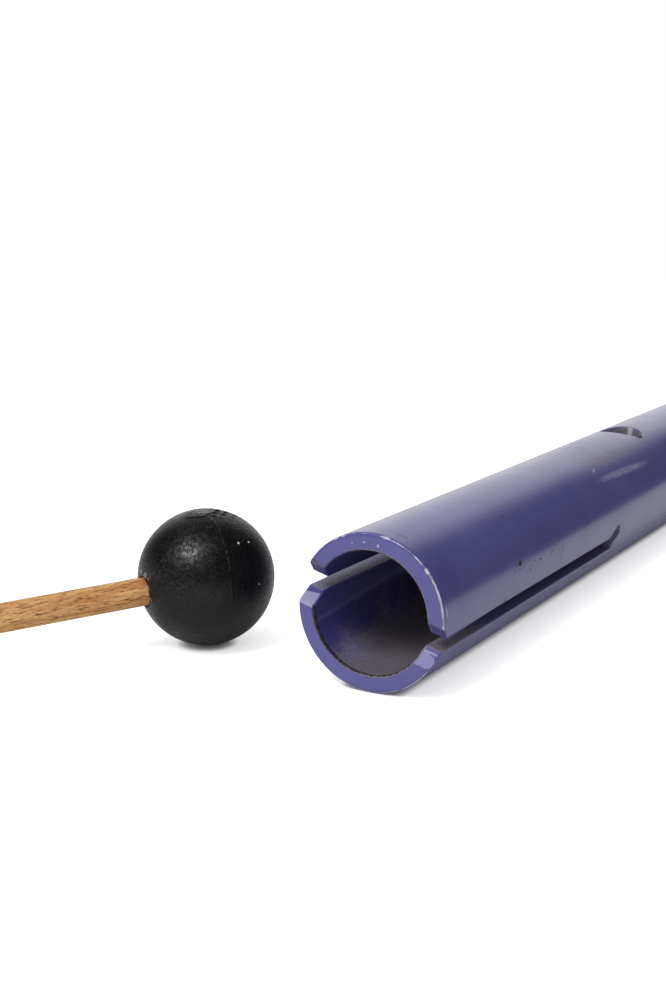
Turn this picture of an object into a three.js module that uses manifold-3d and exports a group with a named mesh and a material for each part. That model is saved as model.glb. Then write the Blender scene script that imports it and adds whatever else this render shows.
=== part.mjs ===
// Wah-wah tube with its rubber-headed mallet. Millimetres, +Z up.
// The tube lies along Y with its open mouth towards -Y. A slot sawn across the mouth leaves two
// prongs that ring like a tuning fork, and a thumb opens and shuts the hole on top of the closed half.
import * as THREE from "three";
import { mergeVertices } from "three/addons/utils/BufferGeometryUtils.js";
import Module from "manifold-3d";

// Tube
const TUBE_LENGTH = 380;
const TUBE_DIAMETER = 42;
const TUBE_WALL = 4.7;
const RIM_BREAK = 0.8;

// Slot across the mouth; its right side is rolled below level
const SLOT_LENGTH = 126.5;
const SLOT_WIDTH = 4.1;
const SLOT_ROLL_DEGREES = 16;

// Where the saw ran on past the slot's right end, at its upper corner
const RUNOUT_WIDTH = 3.4;
const RUNOUT_REACH = 5.4;
const RUNOUT_DEPTH = 2.6;
const RUNOUT_DEGREES = 25;

// Hand-cut prong corners: reach across the end face, depth back along the slot
const LEFT_UPPER_REACH = 4.4;
const LEFT_UPPER_DEPTH = 6.2;
const LEFT_LOWER_REACH = 3.3;
const LEFT_LOWER_DEPTH = 5.6;
const RIGHT_UPPER_REACH = 2.4;
const RIGHT_UPPER_DEPTH = 1.8;
const RIGHT_LOWER_REACH = 4.9;
const RIGHT_LOWER_DEPTH = 1.8;

// Thumb hole, drilled a little to the right of the top
const THUMB_HOLE_DIAMETER = 14.5;
const THUMB_HOLE_FROM_MOUTH = 188;
const THUMB_HOLE_LEAN_DEGREES = 3;

// Plug that closes the far end, pushed in against a shoulder
const PLUG_LENGTH = 12;
const PLUG_SHOULDER = 0.8;
const PLUG_BREAK = 0.5;

// Mallet
const HEAD_DIAMETER = 38.5;
const HEAD_BORE_DEPTH = 24;
const HEAD_BORE_DROP = 1;
const HEAD_BORE_LEAD = 0.9;
const FLASH_HEIGHT = 0.2;
const FLASH_WIDTH = 0.9;
const SHAFT_DIAMETER = 8;
const SHAFT_LENGTH = 250;
const SHAFT_END_ROUND = 1.4;

// Where the mallet lies beside the tube
const HEAD_TO_TUBE_GAP = 19.5;
const HEAD_BEHIND_MOUTH = 13.9;
const SHAFT_SWING_DEGREES = 33.6;

// Clearance between pieces that touch
const FIT_GAP = 0.3;

// Facets round each form
const TUBE_FACETS = 96;
const HOLE_FACETS = 40;
const HEAD_FACETS = 48;
const SHAFT_FACETS = 32;
const ARC_STEP_DEGREES = 7.5;

// Extra length that carries a cutter clear of what it cuts
const CUTTER_MARGIN = 2;

const TUBE_RADIUS = TUBE_DIAMETER / 2;
const BORE_RADIUS = TUBE_RADIUS - TUBE_WALL;
const SEAT_RADIUS = BORE_RADIUS + PLUG_SHOULDER;
const SEAT_LENGTH = PLUG_LENGTH + FIT_GAP;
const HEAD_RADIUS = HEAD_DIAMETER / 2;
const SHAFT_RADIUS = SHAFT_DIAMETER / 2;
const HEAD_BORE_RADIUS = SHAFT_RADIUS + FIT_GAP;

const wasm = await Module();
wasm.setup();

const radians = THREE.MathUtils.degToRad;

/** Turns a closed geometry into a solid that can be cut. */
function solidFrom(geometry) {
  const bare = geometry.clone();
  bare.deleteAttribute("normal");
  bare.deleteAttribute("uv");
  const merged = mergeVertices(bare);
  const corners = merged.index.array;
  const triangles = [];
  for (let i = 0; i < corners.length; i += 3) {
    const [a, b, c] = [corners[i], corners[i + 1], corners[i + 2]];
    const hasArea = a !== b && b !== c && c !== a;
    if (hasArea) triangles.push(a, b, c);
  }
  const mesh = new wasm.Mesh({
    numProp: 3,
    vertProperties: merged.attributes.position.array,
    triVerts: new Uint32Array(triangles),
  });
  return new wasm.Manifold(mesh);
}

/** Turns a solid back into a geometry for a mesh. */
function geometryFrom(solid) {
  const { vertProperties, triVerts } = solid.getMesh();
  const geometry = new THREE.BufferGeometry();
  geometry.setAttribute("position", new THREE.BufferAttribute(vertProperties, 3));
  geometry.setIndex(new THREE.BufferAttribute(triVerts, 1));
  geometry.computeVertexNormals();
  return geometry;
}

/** Revolves a profile of [radius, y] pairs about the Y axis, with a flat facet underneath. */
function turned(profile, facets) {
  const points = profile.map(([radius, y]) => new THREE.Vector2(radius, y));
  return new THREE.LatheGeometry(points, facets, Math.PI / facets);
}

/** Points of an arc about (cx, cy), from one angle to another, as [x, y] pairs. */
function arc(cx, cy, radius, fromDegrees, toDegrees) {
  const steps = Math.max(1, Math.ceil(Math.abs(toDegrees - fromDegrees) / ARC_STEP_DEGREES));
  return Array.from({ length: steps + 1 }, (_, i) => {
    const angle = radians(fromDegrees + ((toDegrees - fromDegrees) * i) / steps);
    return [cx + radius * Math.cos(angle), cy + radius * Math.sin(angle)];
  });
}

function named(name, geometry, material) {
  const mesh = new THREE.Mesh(geometry, material);
  mesh.name = name;
  return mesh;
}

/** The pipe itself: a ring profile with broken rims and a wider seat for the plug. */
function pipeBlank() {
  const far = TUBE_LENGTH;
  const profile = [
    [BORE_RADIUS + RIM_BREAK, 0],
    [TUBE_RADIUS - RIM_BREAK, 0],
    [TUBE_RADIUS, RIM_BREAK],
    [TUBE_RADIUS, far - RIM_BREAK],
    [TUBE_RADIUS - RIM_BREAK, far],
    [SEAT_RADIUS, far],
    [SEAT_RADIUS, far - SEAT_LENGTH],
    [BORE_RADIUS, far - SEAT_LENGTH],
    [BORE_RADIUS, RIM_BREAK],
    [BORE_RADIUS + RIM_BREAK, 0],
  ];
  return solidFrom(turned(profile, TUBE_FACETS));
}

/** The slot runs right across the pipe, so it opens both walls at once. */
function slotCutter() {
  const length = SLOT_LENGTH + CUTTER_MARGIN;
  const cutter = new THREE.BoxGeometry(TUBE_DIAMETER + 2 * CUTTER_MARGIN, length, SLOT_WIDTH);
  cutter.translate(0, length / 2 - CUTTER_MARGIN, 0);
  return cutter.rotateY(radians(SLOT_ROLL_DEGREES));
}

/**
 * A wedge that takes one corner off a prong. side is 1 for the right wall and -1 for the left,
 * prong is 1 for the upper prong and -1 for the lower one.
 */
function cornerCutter(side, prong, reach, depth) {
  const face = SLOT_WIDTH / 2;
  const slope = depth / reach;
  const wedge = new THREE.Shape([
    new THREE.Vector2(prong * (face - CUTTER_MARGIN), depth + CUTTER_MARGIN * slope),
    new THREE.Vector2(prong * (face - CUTTER_MARGIN), -CUTTER_MARGIN),
    new THREE.Vector2(prong * (face + reach + CUTTER_MARGIN / slope), -CUTTER_MARGIN),
  ]);
  const across = TUBE_RADIUS + CUTTER_MARGIN;
  const cutter = new THREE.ExtrudeGeometry(wedge, { depth: across, bevelEnabled: false });
  cutter.rotateY(radians(-90));
  if (side > 0) cutter.translate(across, 0, 0);
  return cutter.rotateY(radians(SLOT_ROLL_DEGREES));
}

/** The round-ended notch that the saw left past the slot's upper right corner. */
function runoutCutter() {
  const half = RUNOUT_WIDTH / 2;
  const tip = RUNOUT_REACH - half;
  const outline = [[-RUNOUT_REACH, -half], ...arc(tip, 0, half, -90, 90), [-RUNOUT_REACH, half]];
  const shape = new THREE.Shape(outline.map(([x, y]) => new THREE.Vector2(x, y)));
  const height = RUNOUT_DEPTH + CUTTER_MARGIN;
  const cutter = new THREE.ExtrudeGeometry(shape, { depth: height, bevelEnabled: false });
  // The outline's x axis comes to lie along the tube and climbs, and its thickness points outwards
  cutter.rotateZ(radians(RUNOUT_DEGREES));
  cutter.translate(SLOT_LENGTH, 0, TUBE_RADIUS - RUNOUT_DEPTH);
  cutter.rotateZ(radians(90));
  cutter.rotateY(radians(90));
  const cornerAngle = Math.asin(SLOT_WIDTH / 2 / TUBE_RADIUS);
  return cutter.rotateY(radians(SLOT_ROLL_DEGREES) - cornerAngle);
}

/** The thumb hole goes through the top wall only. */
function thumbHoleCutter() {
  const drill = THUMB_HOLE_DIAMETER / 2;
  const cutter = new THREE.CylinderGeometry(drill, drill, TUBE_WALL * 3, HOLE_FACETS);
  cutter.rotateX(radians(90));
  cutter.translate(0, THUMB_HOLE_FROM_MOUTH, TUBE_RADIUS - TUBE_WALL / 2);
  return cutter.rotateY(radians(THUMB_HOLE_LEAN_DEGREES));
}

function makeTube(material) {
  const cutters = [
    slotCutter(),
    cornerCutter(-1, 1, LEFT_UPPER_REACH, LEFT_UPPER_DEPTH),
    cornerCutter(-1, -1, LEFT_LOWER_REACH, LEFT_LOWER_DEPTH),
    cornerCutter(1, 1, RIGHT_UPPER_REACH, RIGHT_UPPER_DEPTH),
    cornerCutter(1, -1, RIGHT_LOWER_REACH, RIGHT_LOWER_DEPTH),
    runoutCutter(),
    thumbHoleCutter(),
  ];
  const solid = cutters.reduce((body, cutter) => body.subtract(solidFrom(cutter)), pipeBlank());
  return named("tube", geometryFrom(solid), material);
}

/** A turned disc that sits against the shoulder, flush with the tube's far rim. */
function makeEndPlug(material) {
  const radius = SEAT_RADIUS - FIT_GAP;
  const inner = TUBE_LENGTH - PLUG_LENGTH;
  const profile = [
    [0, inner],
    [radius - PLUG_BREAK, inner],
    [radius, inner + PLUG_BREAK],
    [radius, TUBE_LENGTH - PLUG_BREAK],
    [radius - PLUG_BREAK, TUBE_LENGTH],
    [0, TUBE_LENGTH],
  ];
  return named("end_plug", geometryFrom(solidFrom(turned(profile, TUBE_FACETS))), material);
}

/** A blind bore along Y, entered from -Y, with a short conical lead-in where it opens. */
function headBoreCutter() {
  const end = HEAD_BORE_DEPTH - HEAD_RADIUS;
  const opening = -Math.sqrt(HEAD_RADIUS ** 2 - (HEAD_BORE_RADIUS + HEAD_BORE_LEAD) ** 2);
  const outside = -HEAD_RADIUS - CUTTER_MARGIN;
  const profile = [
    [0, outside],
    [HEAD_BORE_RADIUS + HEAD_BORE_LEAD + opening - outside, outside],
    [HEAD_BORE_RADIUS, opening + HEAD_BORE_LEAD],
    [HEAD_BORE_RADIUS, end],
    [0, end],
  ];
  return turned(profile, SHAFT_FACETS);
}

/**
 * The rubber ball, turned about Y with the mould's parting line standing proud round its middle.
 * The bore is drilled on the Y axis, and the ball sits a little above it.
 */
function makeMalletHead(material) {
  const flashDegrees = THREE.MathUtils.radToDeg(FLASH_WIDTH / 2 / HEAD_RADIUS);
  const profile = [
    ...arc(0, 0, HEAD_RADIUS, -90, -flashDegrees),
    [HEAD_RADIUS + FLASH_HEIGHT, 0],
    ...arc(0, 0, HEAD_RADIUS, flashDegrees, 90),
  ];
  profile[0][0] = 0;
  profile[profile.length - 1][0] = 0;
  const ball = turned(profile, HEAD_FACETS).translate(0, 0, HEAD_BORE_DROP);
  const solid = solidFrom(ball).subtract(solidFrom(headBoreCutter()));
  return named("mallet_head", geometryFrom(solid), material);
}

/** The dowel: one end near the bottom of the ball's bore, the other rounded over. */
function makeMalletShaft(material) {
  const inner = HEAD_BORE_DEPTH - HEAD_RADIUS - FIT_GAP;
  const outer = inner - SHAFT_LENGTH;
  const flat = SHAFT_RADIUS - SHAFT_END_ROUND;
  const profile = [
    [0, outer],
    ...arc(flat, outer + SHAFT_END_ROUND, SHAFT_END_ROUND, -90, 0),
    [SHAFT_RADIUS, inner],
    [0, inner],
  ];
  return named("mallet_shaft", geometryFrom(solidFrom(turned(profile, SHAFT_FACETS))), material);
}

/** Head and shaft share an axis, which slopes so that the ball and the shaft's end both rest. */
function makeMallet(headMaterial, shaftMaterial) {
  const mallet = new THREE.Group();
  mallet.name = "mallet";
  mallet.add(makeMalletHead(headMaterial), makeMalletShaft(shaftMaterial));
  const boreHeight = HEAD_RADIUS + FLASH_HEIGHT - HEAD_BORE_DROP;
  const toShaftEnd = SHAFT_LENGTH - (HEAD_BORE_DEPTH - HEAD_RADIUS) - SHAFT_END_ROUND;
  const slope = Math.asin(boreHeight / Math.hypot(toShaftEnd, SHAFT_RADIUS))
    - Math.atan2(SHAFT_RADIUS, toShaftEnd);
  mallet.rotation.order = "ZXY";
  mallet.rotation.x = slope;
  mallet.rotation.z = -radians(SHAFT_SWING_DEGREES);
  mallet.position.x = -(TUBE_RADIUS + HEAD_TO_TUBE_GAP + HEAD_RADIUS);
  mallet.position.y = HEAD_BEHIND_MOUTH;
  return mallet;
}

/** Lowers a group on to the floor at z = 0. */
function setDown(group) {
  const box = new THREE.Box3().setFromObject(group, true);
  group.position.z -= box.min.z;
}

const violetPaint = new THREE.MeshStandardMaterial({ color: 0x5a5796, roughness: 0.22, metalness: 0.1 });
const blackRubber = new THREE.MeshStandardMaterial({ color: 0x1c1c1f, roughness: 0.5, metalness: 0 });
const beech = new THREE.MeshStandardMaterial({ color: 0xc9985f, roughness: 0.6, metalness: 0 });

const instrument = new THREE.Group();
instrument.name = "tube_body";
instrument.add(makeTube(violetPaint), makeEndPlug(violetPaint));
setDown(instrument);

const mallet = makeMallet(blackRubber, beech);
setDown(mallet);

// The set stands with its origin at the bottom centre of its bounding box
const wahWahTube = new THREE.Group();
wahWahTube.name = "wah_wah_tube";
wahWahTube.add(instrument, mallet);
const extent = new THREE.Box3().setFromObject(wahWahTube, true).getCenter(new THREE.Vector3());
wahWahTube.position.set(-extent.x, -extent.y, 0);

export default wahWahTube;
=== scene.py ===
# %% [markdown]
# A wah-wah tube with its mallet, dressed for a render.
# The instrument is a painted steel pipe: a slot sawn across its mouth leaves two prongs that ring
# when the rubber ball strikes them, and a thumb over the hole on top bends the sound.
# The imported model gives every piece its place. Here each piece gets a finer skin and its real
# finish, so the first step is to load that model and keep the box that it fills.

from types import SimpleNamespace

import bmesh
import bpy
import numpy as np
from mathutils import Matrix, Vector


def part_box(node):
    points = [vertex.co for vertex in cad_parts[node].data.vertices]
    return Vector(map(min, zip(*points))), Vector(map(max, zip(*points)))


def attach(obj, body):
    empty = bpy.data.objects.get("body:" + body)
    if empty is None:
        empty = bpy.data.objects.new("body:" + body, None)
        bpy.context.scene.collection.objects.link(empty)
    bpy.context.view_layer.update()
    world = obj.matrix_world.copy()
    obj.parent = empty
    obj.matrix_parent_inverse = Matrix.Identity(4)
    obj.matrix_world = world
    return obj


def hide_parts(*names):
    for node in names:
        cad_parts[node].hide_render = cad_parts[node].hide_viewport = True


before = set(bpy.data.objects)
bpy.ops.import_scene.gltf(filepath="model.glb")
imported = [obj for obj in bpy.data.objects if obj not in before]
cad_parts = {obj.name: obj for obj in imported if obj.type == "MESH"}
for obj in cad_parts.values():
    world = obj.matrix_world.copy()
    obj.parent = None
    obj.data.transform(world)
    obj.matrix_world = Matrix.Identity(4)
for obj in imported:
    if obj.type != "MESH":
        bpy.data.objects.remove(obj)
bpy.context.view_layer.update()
MM = 0.001

# %% [markdown]
# The tube's box tells where its axis runs, where the mouth is and how thick the pipe is.
# The other sizes are the real ones, in millimetres: the wall and the slot, which is rolled a
# little about the tube's axis. Along the tube, a place is its distance from the mouth.

# %% The tube's sizes
tube_low, tube_high = (np.array(corner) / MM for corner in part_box("tube"))
AXIS_X = (tube_low[0] + tube_high[0]) / 2
AXIS_Z = (tube_low[2] + tube_high[2]) / 2
MOUTH_Y = tube_low[1]
TUBE_LENGTH = tube_high[1] - tube_low[1]
TUBE_RADIUS = AXIS_Z
TUBE_WALL = 4.7
BORE_RADIUS = TUBE_RADIUS - TUBE_WALL
SLOT_LENGTH = 126.5
SLOT_HALF = 2.05
SLOT_ROLL = np.radians(16)
print("tube", round(TUBE_LENGTH, 1), "mm long, radius", round(TUBE_RADIUS, 2))

# %% [markdown]
# The camera stands to the right of the mouth, a hand's height above the table, and looks past
# the mouth at the far end. Its place is measured from the spot on the table below the mouth.
# A lens is the picture's focal length in pixels, turned into millimetres of the sensor.

# %% The camera
PICTURE_HEIGHT = 1000
FOCAL_PIXELS = 1413
CAMERA_FROM_MOUTH = np.array([164.2, -301.4, 123.3])
LOOK = Vector((-0.4905, 0.8463, -0.2079)).normalized()


def add_camera(place, look, focal_pixels, picture_height):
    """A level camera: its right hand is square to the look and to the world's up."""
    camera = bpy.data.objects.new("camera", bpy.data.cameras.new("camera"))
    bpy.context.scene.collection.objects.link(camera)
    right = look.cross(Vector((0, 0, 1))).normalized()
    up = right.cross(look)
    turn = Matrix((right, up, -look)).transposed()
    camera.matrix_world = Matrix.Translation(place) @ turn.to_4x4()
    camera.data.lens = camera.data.sensor_width * focal_pixels / picture_height
    camera.data.clip_start = 0.01
    camera.data.clip_end = 20
    return camera


under_mouth = np.array([AXIS_X, MOUTH_Y, 0])
camera_place = Vector((under_mouth + CAMERA_FROM_MOUTH) * MM)
camera = add_camera(camera_place, LOOK, FOCAL_PIXELS, PICTURE_HEIGHT)
bpy.context.scene.camera = camera
bpy.context.scene.view_settings.view_transform = "Standard"
print("lens", round(camera.data.lens, 2), "mm")

# %% [markdown]
# Materials and lights are graphs of nodes, and most of a graph is small sums.
# These helpers add one node each: they set its fields, link whatever is a socket and write
# whatever is a plain value, and they return the socket to go on with.

# %% Helpers for sums in node graphs


def node(tree, kind, inputs=None, output=0, **settings):
    """Adds one shader node. inputs maps an input's name or number to a value or a socket."""
    made = tree.nodes.new("ShaderNode" + kind)
    for name, value in settings.items():
        setattr(made, name, value)
    for key, value in (inputs or {}).items():
        if isinstance(value, bpy.types.NodeSocket):
            tree.links.new(value, made.inputs[key])
        else:
            made.inputs[key].default_value = value
    return made.outputs[output]


def calc(tree, operation, *values):
    """One step of arithmetic."""
    return node(tree, "Math", dict(enumerate(values)), operation=operation)


def plus(tree, value, amount):
    """The sum of two values."""
    return calc(tree, "ADD", value, amount)


def less(tree, value, amount):
    """A value less an amount."""
    return calc(tree, "SUBTRACT", value, amount)


def times(tree, value, factor):
    """A value times a factor, or a mask at a share of its strength."""
    return calc(tree, "MULTIPLY", value, factor)


def line(tree, value, slope, start):
    """A straight line: the value times its slope, plus its start."""
    return calc(tree, "MULTIPLY_ADD", value, slope, start)


def distance_along(tree, point, vector):
    """How far a point lies along a vector of length 1."""
    return node(tree, "VectorMath", {0: point, 1: tuple(vector)}, output=1, operation="DOT_PRODUCT")


print("arithmetic helpers are ready")

# %% [markdown]
# A mask is a number from 0 to 1 that says where something is. Most masks come from a length that
# is eased: 0 on one side of a place, 1 on the other, with a soft run between. Masks are put
# together by multiplying, which keeps where both are, or by taking the larger.

# %% Helpers for masks and colours


def ease(tree, value, low, high):
    """A soft run from 0 at low to 1 at high; low may lie above high."""
    inputs = {"Value": value, "From Min": low, "From Max": high}
    return node(tree, "MapRange", inputs, interpolation_type="SMOOTHSTEP")


def repeat(tree, operation, values):
    """Works one operation through a list of values, from the first to the last."""
    total = values[0]
    for other in values[1:]:
        total = calc(tree, operation, total, other)
    return total


def both(tree, *masks):
    """Where every mask is."""
    return repeat(tree, "MULTIPLY", masks)


def either(tree, *masks):
    """Where any mask is."""
    return repeat(tree, "MAXIMUM", masks)


def no(tree, mask):
    """Where a mask isn't."""
    return less(tree, 1.0, mask)


def band(tree, value, low, high, soft):
    """1 between low and high, with soft ends."""
    above_low = ease(tree, value, low - soft, low + soft)
    return both(tree, above_low, ease(tree, value, high + soft, high - soft))


def noise(tree, vector, scale, detail=2.0, roughness=0.5):
    """Cloudy noise from 0 to 1 with its mean near 0.5."""
    inputs = {"Vector": vector, "Scale": scale, "Detail": detail, "Roughness": roughness}
    return node(tree, "TexNoise", inputs)


def mix(tree, factor, first, second):
    """Goes from the first colour to the second as factor goes from 0 to 1."""
    return node(tree, "Mix", {0: factor, 6: first, 7: second}, output=2, data_type="RGBA")


def layered(tree, colour, layers):
    """Lays colours over one another, from the bottom up: each layer is (mask, strength, colour)."""
    for mask, strength, tone in layers:
        colour = mix(tree, times(tree, mask, strength), colour, tone)
    return colour


def rgb(red, green, blue):
    """A colour as screens name it, 0 to 255, in the linear values that shaders use."""
    screen = np.array([red, green, blue]) / 255
    linear = np.where(screen <= 0.04045, screen / 12.92, ((screen + 0.055) / 1.055) ** 2.4)
    return (*linear.tolist(), 1.0)


print("colour check", [round(c, 3) for c in rgb(90, 87, 150)[:3]])

# %% [markdown]
# What more than one finish needs is a node group, built once. A group has named inputs and
# outputs, and each material places it with values of its own.

# %% Helpers for node groups


def new_group(name, inputs, outputs):
    """An empty node group and its two end nodes. A socket that starts as None is a vector."""
    tree = bpy.data.node_groups.new(name, "ShaderNodeTree")
    for direction, sockets in (("INPUT", inputs), ("OUTPUT", outputs)):
        for label, start in sockets.items():
            kind = "NodeSocketVector" if start is None else "NodeSocketFloat"
            socket = tree.interface.new_socket(name=label, in_out=direction, socket_type=kind)
            if start is not None and direction == "INPUT":
                socket.default_value = start
    return tree, tree.nodes.new("NodeGroupInput"), tree.nodes.new("NodeGroupOutput")


def use_group(tree, group, inputs):
    """Places a node group and returns its first output."""
    return node(tree, "Group", inputs, node_tree=group)


def group_outputs(tree, group):
    """Places a node group that has no inputs and returns its outputs as fields, as in here.point."""
    outputs = use_group(tree, group, {}).node.outputs.items()
    return SimpleNamespace(**{name.lower(): socket for name, socket in outputs})


print("group helpers are ready")

# %% [markdown]
# The table is a sheet of white board. It ends a hand's width to the right of the tube, and the
# tube's side shows that: a pale band where it mirrors the board, and deep violet above it, where
# it mirrors the dark room. The photograph is exposed so that the bare board is pure white, so
# the board glows for rays that come from the camera, and less for those from a gloss. The glow
# stands for light that falls in from all round: it dims where a piece lies close and hides the
# room from the board, so that the dark line where a piece touches the board stays.

# %% The table
BOARD_ACROSS = np.array([-1500, 197])
BOARD_ALONG = np.array([-1600, 1900])
BOARD_COLOUR = (0.8, 0.8, 0.8, 1)
BOARD_SHADE = (0.79, 0.79, 0.79, 1)
BOARD_GRAIN = 9.0
BOARD_GLOW_SEEN = 0.9
BOARD_GLOW_FAR = 1.1
BOARD_GLOW_MIRRORED = 0.36
FAR_BOARD_START = 0.45
FAR_BOARD_END = 1.3
TOUCH_DISTANCE = 0.0025
NEAR_DISTANCE = 0.015
ROUND_DISTANCE = 0.034
TOUCH_EASE = (0.15, 0.85)
TOUCH_SHARE = 0.58
MIRRORED_POWER = 1.5
HIDING_SAMPLES = 12


def is_mirrored(tree, path):
    """1 for a ray that comes from a gloss or through something clear."""
    return calc(tree, "MAXIMUM", path["Is Glossy Ray"], path["Is Transmission Ray"])


def openness(tree, reach):
    """How much of the room a spot on the board sees, counting only what lies within reach."""
    return node(tree, "AmbientOcclusion", {"Distance": reach}, output=1, samples=HIDING_SAMPLES)


def board_glow(tree, place):
    """How brightly the board glows: for the camera, a little more far off, and less for a gloss."""
    path = tree.nodes.new("ShaderNodeLightPath").outputs
    mouth = (AXIS_X * MM, MOUTH_Y * MM, 0)
    from_mouth = node(tree, "VectorMath", {0: place, 1: mouth}, operation="DISTANCE", output=1)
    far = ease(tree, from_mouth, FAR_BOARD_START, FAR_BOARD_END)
    level = node(tree, "Mix", {0: far, 2: BOARD_GLOW_SEEN, 3: BOARD_GLOW_FAR})
    touch = ease(tree, openness(tree, TOUCH_DISTANCE), *TOUCH_EASE)
    open_to_light = node(tree, "Mix", {0: TOUCH_SHARE, 2: openness(tree, NEAR_DISTANCE), 3: touch})
    seen = both(tree, path["Is Camera Ray"], level, open_to_light)
    open_round = calc(tree, "POWER", openness(tree, ROUND_DISTANCE), MIRRORED_POWER)
    mirrored = both(tree, is_mirrored(tree, path), open_round, BOARD_GLOW_MIRRORED)
    return plus(tree, seen, mirrored)


def make_board():
    """A flat sheet at z = 0, matt and all but even in colour."""
    x = (AXIS_X + BOARD_ACROSS) * MM
    y = (MOUTH_Y + BOARD_ALONG) * MM
    corners = [(x[0], y[0], 0), (x[1], y[0], 0), (x[1], y[1], 0), (x[0], y[1], 0)]
    mesh = bpy.data.meshes.new("table_board")
    mesh.from_pydata(corners, [], [(0, 1, 2, 3)])
    board = bpy.data.objects.new("table_board", mesh)
    bpy.context.scene.collection.objects.link(board)
    material = bpy.data.materials.new("white_board")
    material.use_nodes = True
    tree = material.node_tree
    shader = tree.nodes["Principled BSDF"].inputs
    place = node(tree, "TexCoord", output=3)
    tint = mix(tree, noise(tree, place, BOARD_GRAIN, 3.0), BOARD_COLOUR, BOARD_SHADE)
    tree.links.new(tint, shader["Base Color"])
    tree.links.new(board_glow(tree, place), shader["Emission Strength"])
    shader["Emission Color"].default_value = (1, 1, 1, 1)
    shader["Roughness"].default_value = 0.9
    shader["Specular IOR Level"].default_value = 0.0
    mesh.materials.append(material)
    return board


board = make_board()
print("board ends", BOARD_ACROSS[1], "mm right of the tube's axis")

# %% [markdown]
# The studio has a white sheet behind the object, as wide as the camera sees and a little more,
# and a dark room round it. Only a gloss tells them apart, so the world answers each kind of ray:
# the camera gets plain white, a gloss gets the sheet and the room, and soft light gets a plain
# grey that is stronger from the front left, where the photographer's fill light stands.

# %% The world
SHEET_RIGHT = np.radians(1)
SHEET_LEFT = np.radians(-64)
SHEET_RIGHT_EDGE = (-0.14, 0.18)
SHEET_LEFT_EDGE = (-0.12, 0.15)
SHEET_TOP_EDGE = (0.8, 0.55)
SHEET_WHITE = 1.08
ROOM_DARK = 0.045
SOFT_LIGHT = 0.34
FILL_LIGHT = 0.8
FILL_NARROWNESS = 3.0
FILL_FROM = Vector((-0.3, -0.9, 0.3)).normalized()


def white_sheet(tree, direction):
    """Where a ray meets the sheet: left of its right edge, right of its left one, below its top."""
    of_right_edge = distance_along(tree, direction, (-np.cos(SHEET_RIGHT), np.sin(SHEET_RIGHT), 0))
    of_left_edge = distance_along(tree, direction, (np.cos(SHEET_LEFT), -np.sin(SHEET_LEFT), 0))
    upwards = distance_along(tree, direction, (0, 0, 1))
    return both(tree, ease(tree, of_right_edge, *SHEET_RIGHT_EDGE),
                ease(tree, of_left_edge, *SHEET_LEFT_EDGE), ease(tree, upwards, *SHEET_TOP_EDGE))


def make_world():
    """A world whose brightness depends on the ray's direction and kind."""
    world = bpy.data.worlds.new("studio")
    world.use_nodes = True
    world.cycles.sampling_method = "NONE"
    bpy.context.scene.world = world
    tree = world.node_tree
    tree.nodes.clear()
    direction = node(tree, "TexCoord", output=0)
    sheet = white_sheet(tree, direction)
    gloss = node(tree, "MapRange", {"Value": sheet, "To Min": ROOM_DARK, "To Max": SHEET_WHITE})
    towards_fill = calc(tree, "MAXIMUM", distance_along(tree, direction, FILL_FROM), 0.0)
    soft = line(tree, calc(tree, "POWER", towards_fill, FILL_NARROWNESS), FILL_LIGHT, SOFT_LIGHT)
    path = tree.nodes.new("ShaderNodeLightPath").outputs
    lit = node(tree, "Mix", {0: is_mirrored(tree, path), 2: soft, 3: gloss})
    seen = node(tree, "Mix", {0: path["Is Camera Ray"], 2: lit, 3: 1.0})
    background = node(tree, "Background", {"Color": (1, 1, 1, 1), "Strength": seen})
    output = tree.nodes.new("ShaderNodeOutputWorld")
    tree.links.new(background, output.inputs["Surface"])


make_world()
print("sheet from", np.degrees(SHEET_LEFT), "to", np.degrees(SHEET_RIGHT), "degrees")

# %% [markdown]
# One large soft lamp hangs above and in front of the mouth, a little to the left. It makes the
# end face brighter than the tube's side, and the ball's one broad highlight. Its power follows
# from the light that a white card there should send back, as a share of plain white.

# %% The lamp
LAMP_FROM = Vector((-0.12, -0.585, 0.8)).normalized()
LAMP_DISTANCE = 1.2
LAMP_SIZE = 0.42
LAMP_LEVEL = 0.42


def add_lamp(name, towards, distance, size, level):
    """A square soft lamp that looks at the mouth; level is a facing white card's brightness."""
    lamp = bpy.data.objects.new(name, bpy.data.lights.new(name, "AREA"))
    bpy.context.scene.collection.objects.link(lamp)
    target = Vector((AXIS_X * MM, MOUTH_Y * MM, AXIS_Z * MM))
    lamp.location = target + towards * distance
    lamp.rotation_euler = towards.to_track_quat("Z", "Y").to_euler()
    lamp.data.size = size
    lamp.data.energy = level * np.pi**2 * distance**2
    return lamp


lamp = add_lamp("soft_lamp", LAMP_FROM, LAMP_DISTANCE, LAMP_SIZE, LAMP_LEVEL)
print("lamp", round(lamp.data.energy, 2), "W")

# %% [markdown]
# Every piece is one or more patches. A patch is a grid of points worked out by a formula of two
# parameters, and its faces join each point to its neighbours. Patches that meet share the same
# border points, so welding them closes the skin, and the faces are then turned to look outwards.

# %% Helpers for meshes
WELD_DISTANCE = 2e-7
SHARP_ANGLE = np.radians(38)


def grid_faces(rows, columns, wrap=False, keep=None):
    """Quads of a grid of points numbered row by row; wrap joins the last column to the first."""
    cells = columns if wrap else columns - 1
    row, column = np.meshgrid(np.arange(rows - 1), np.arange(cells), indexing="ij")
    after = (column + 1) % columns
    quads = np.stack([row * columns + column, row * columns + after,
                      (row + 1) * columns + after, (row + 1) * columns + column], axis=-1)
    return quads.reshape(-1, 4) if keep is None else quads[keep]


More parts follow.
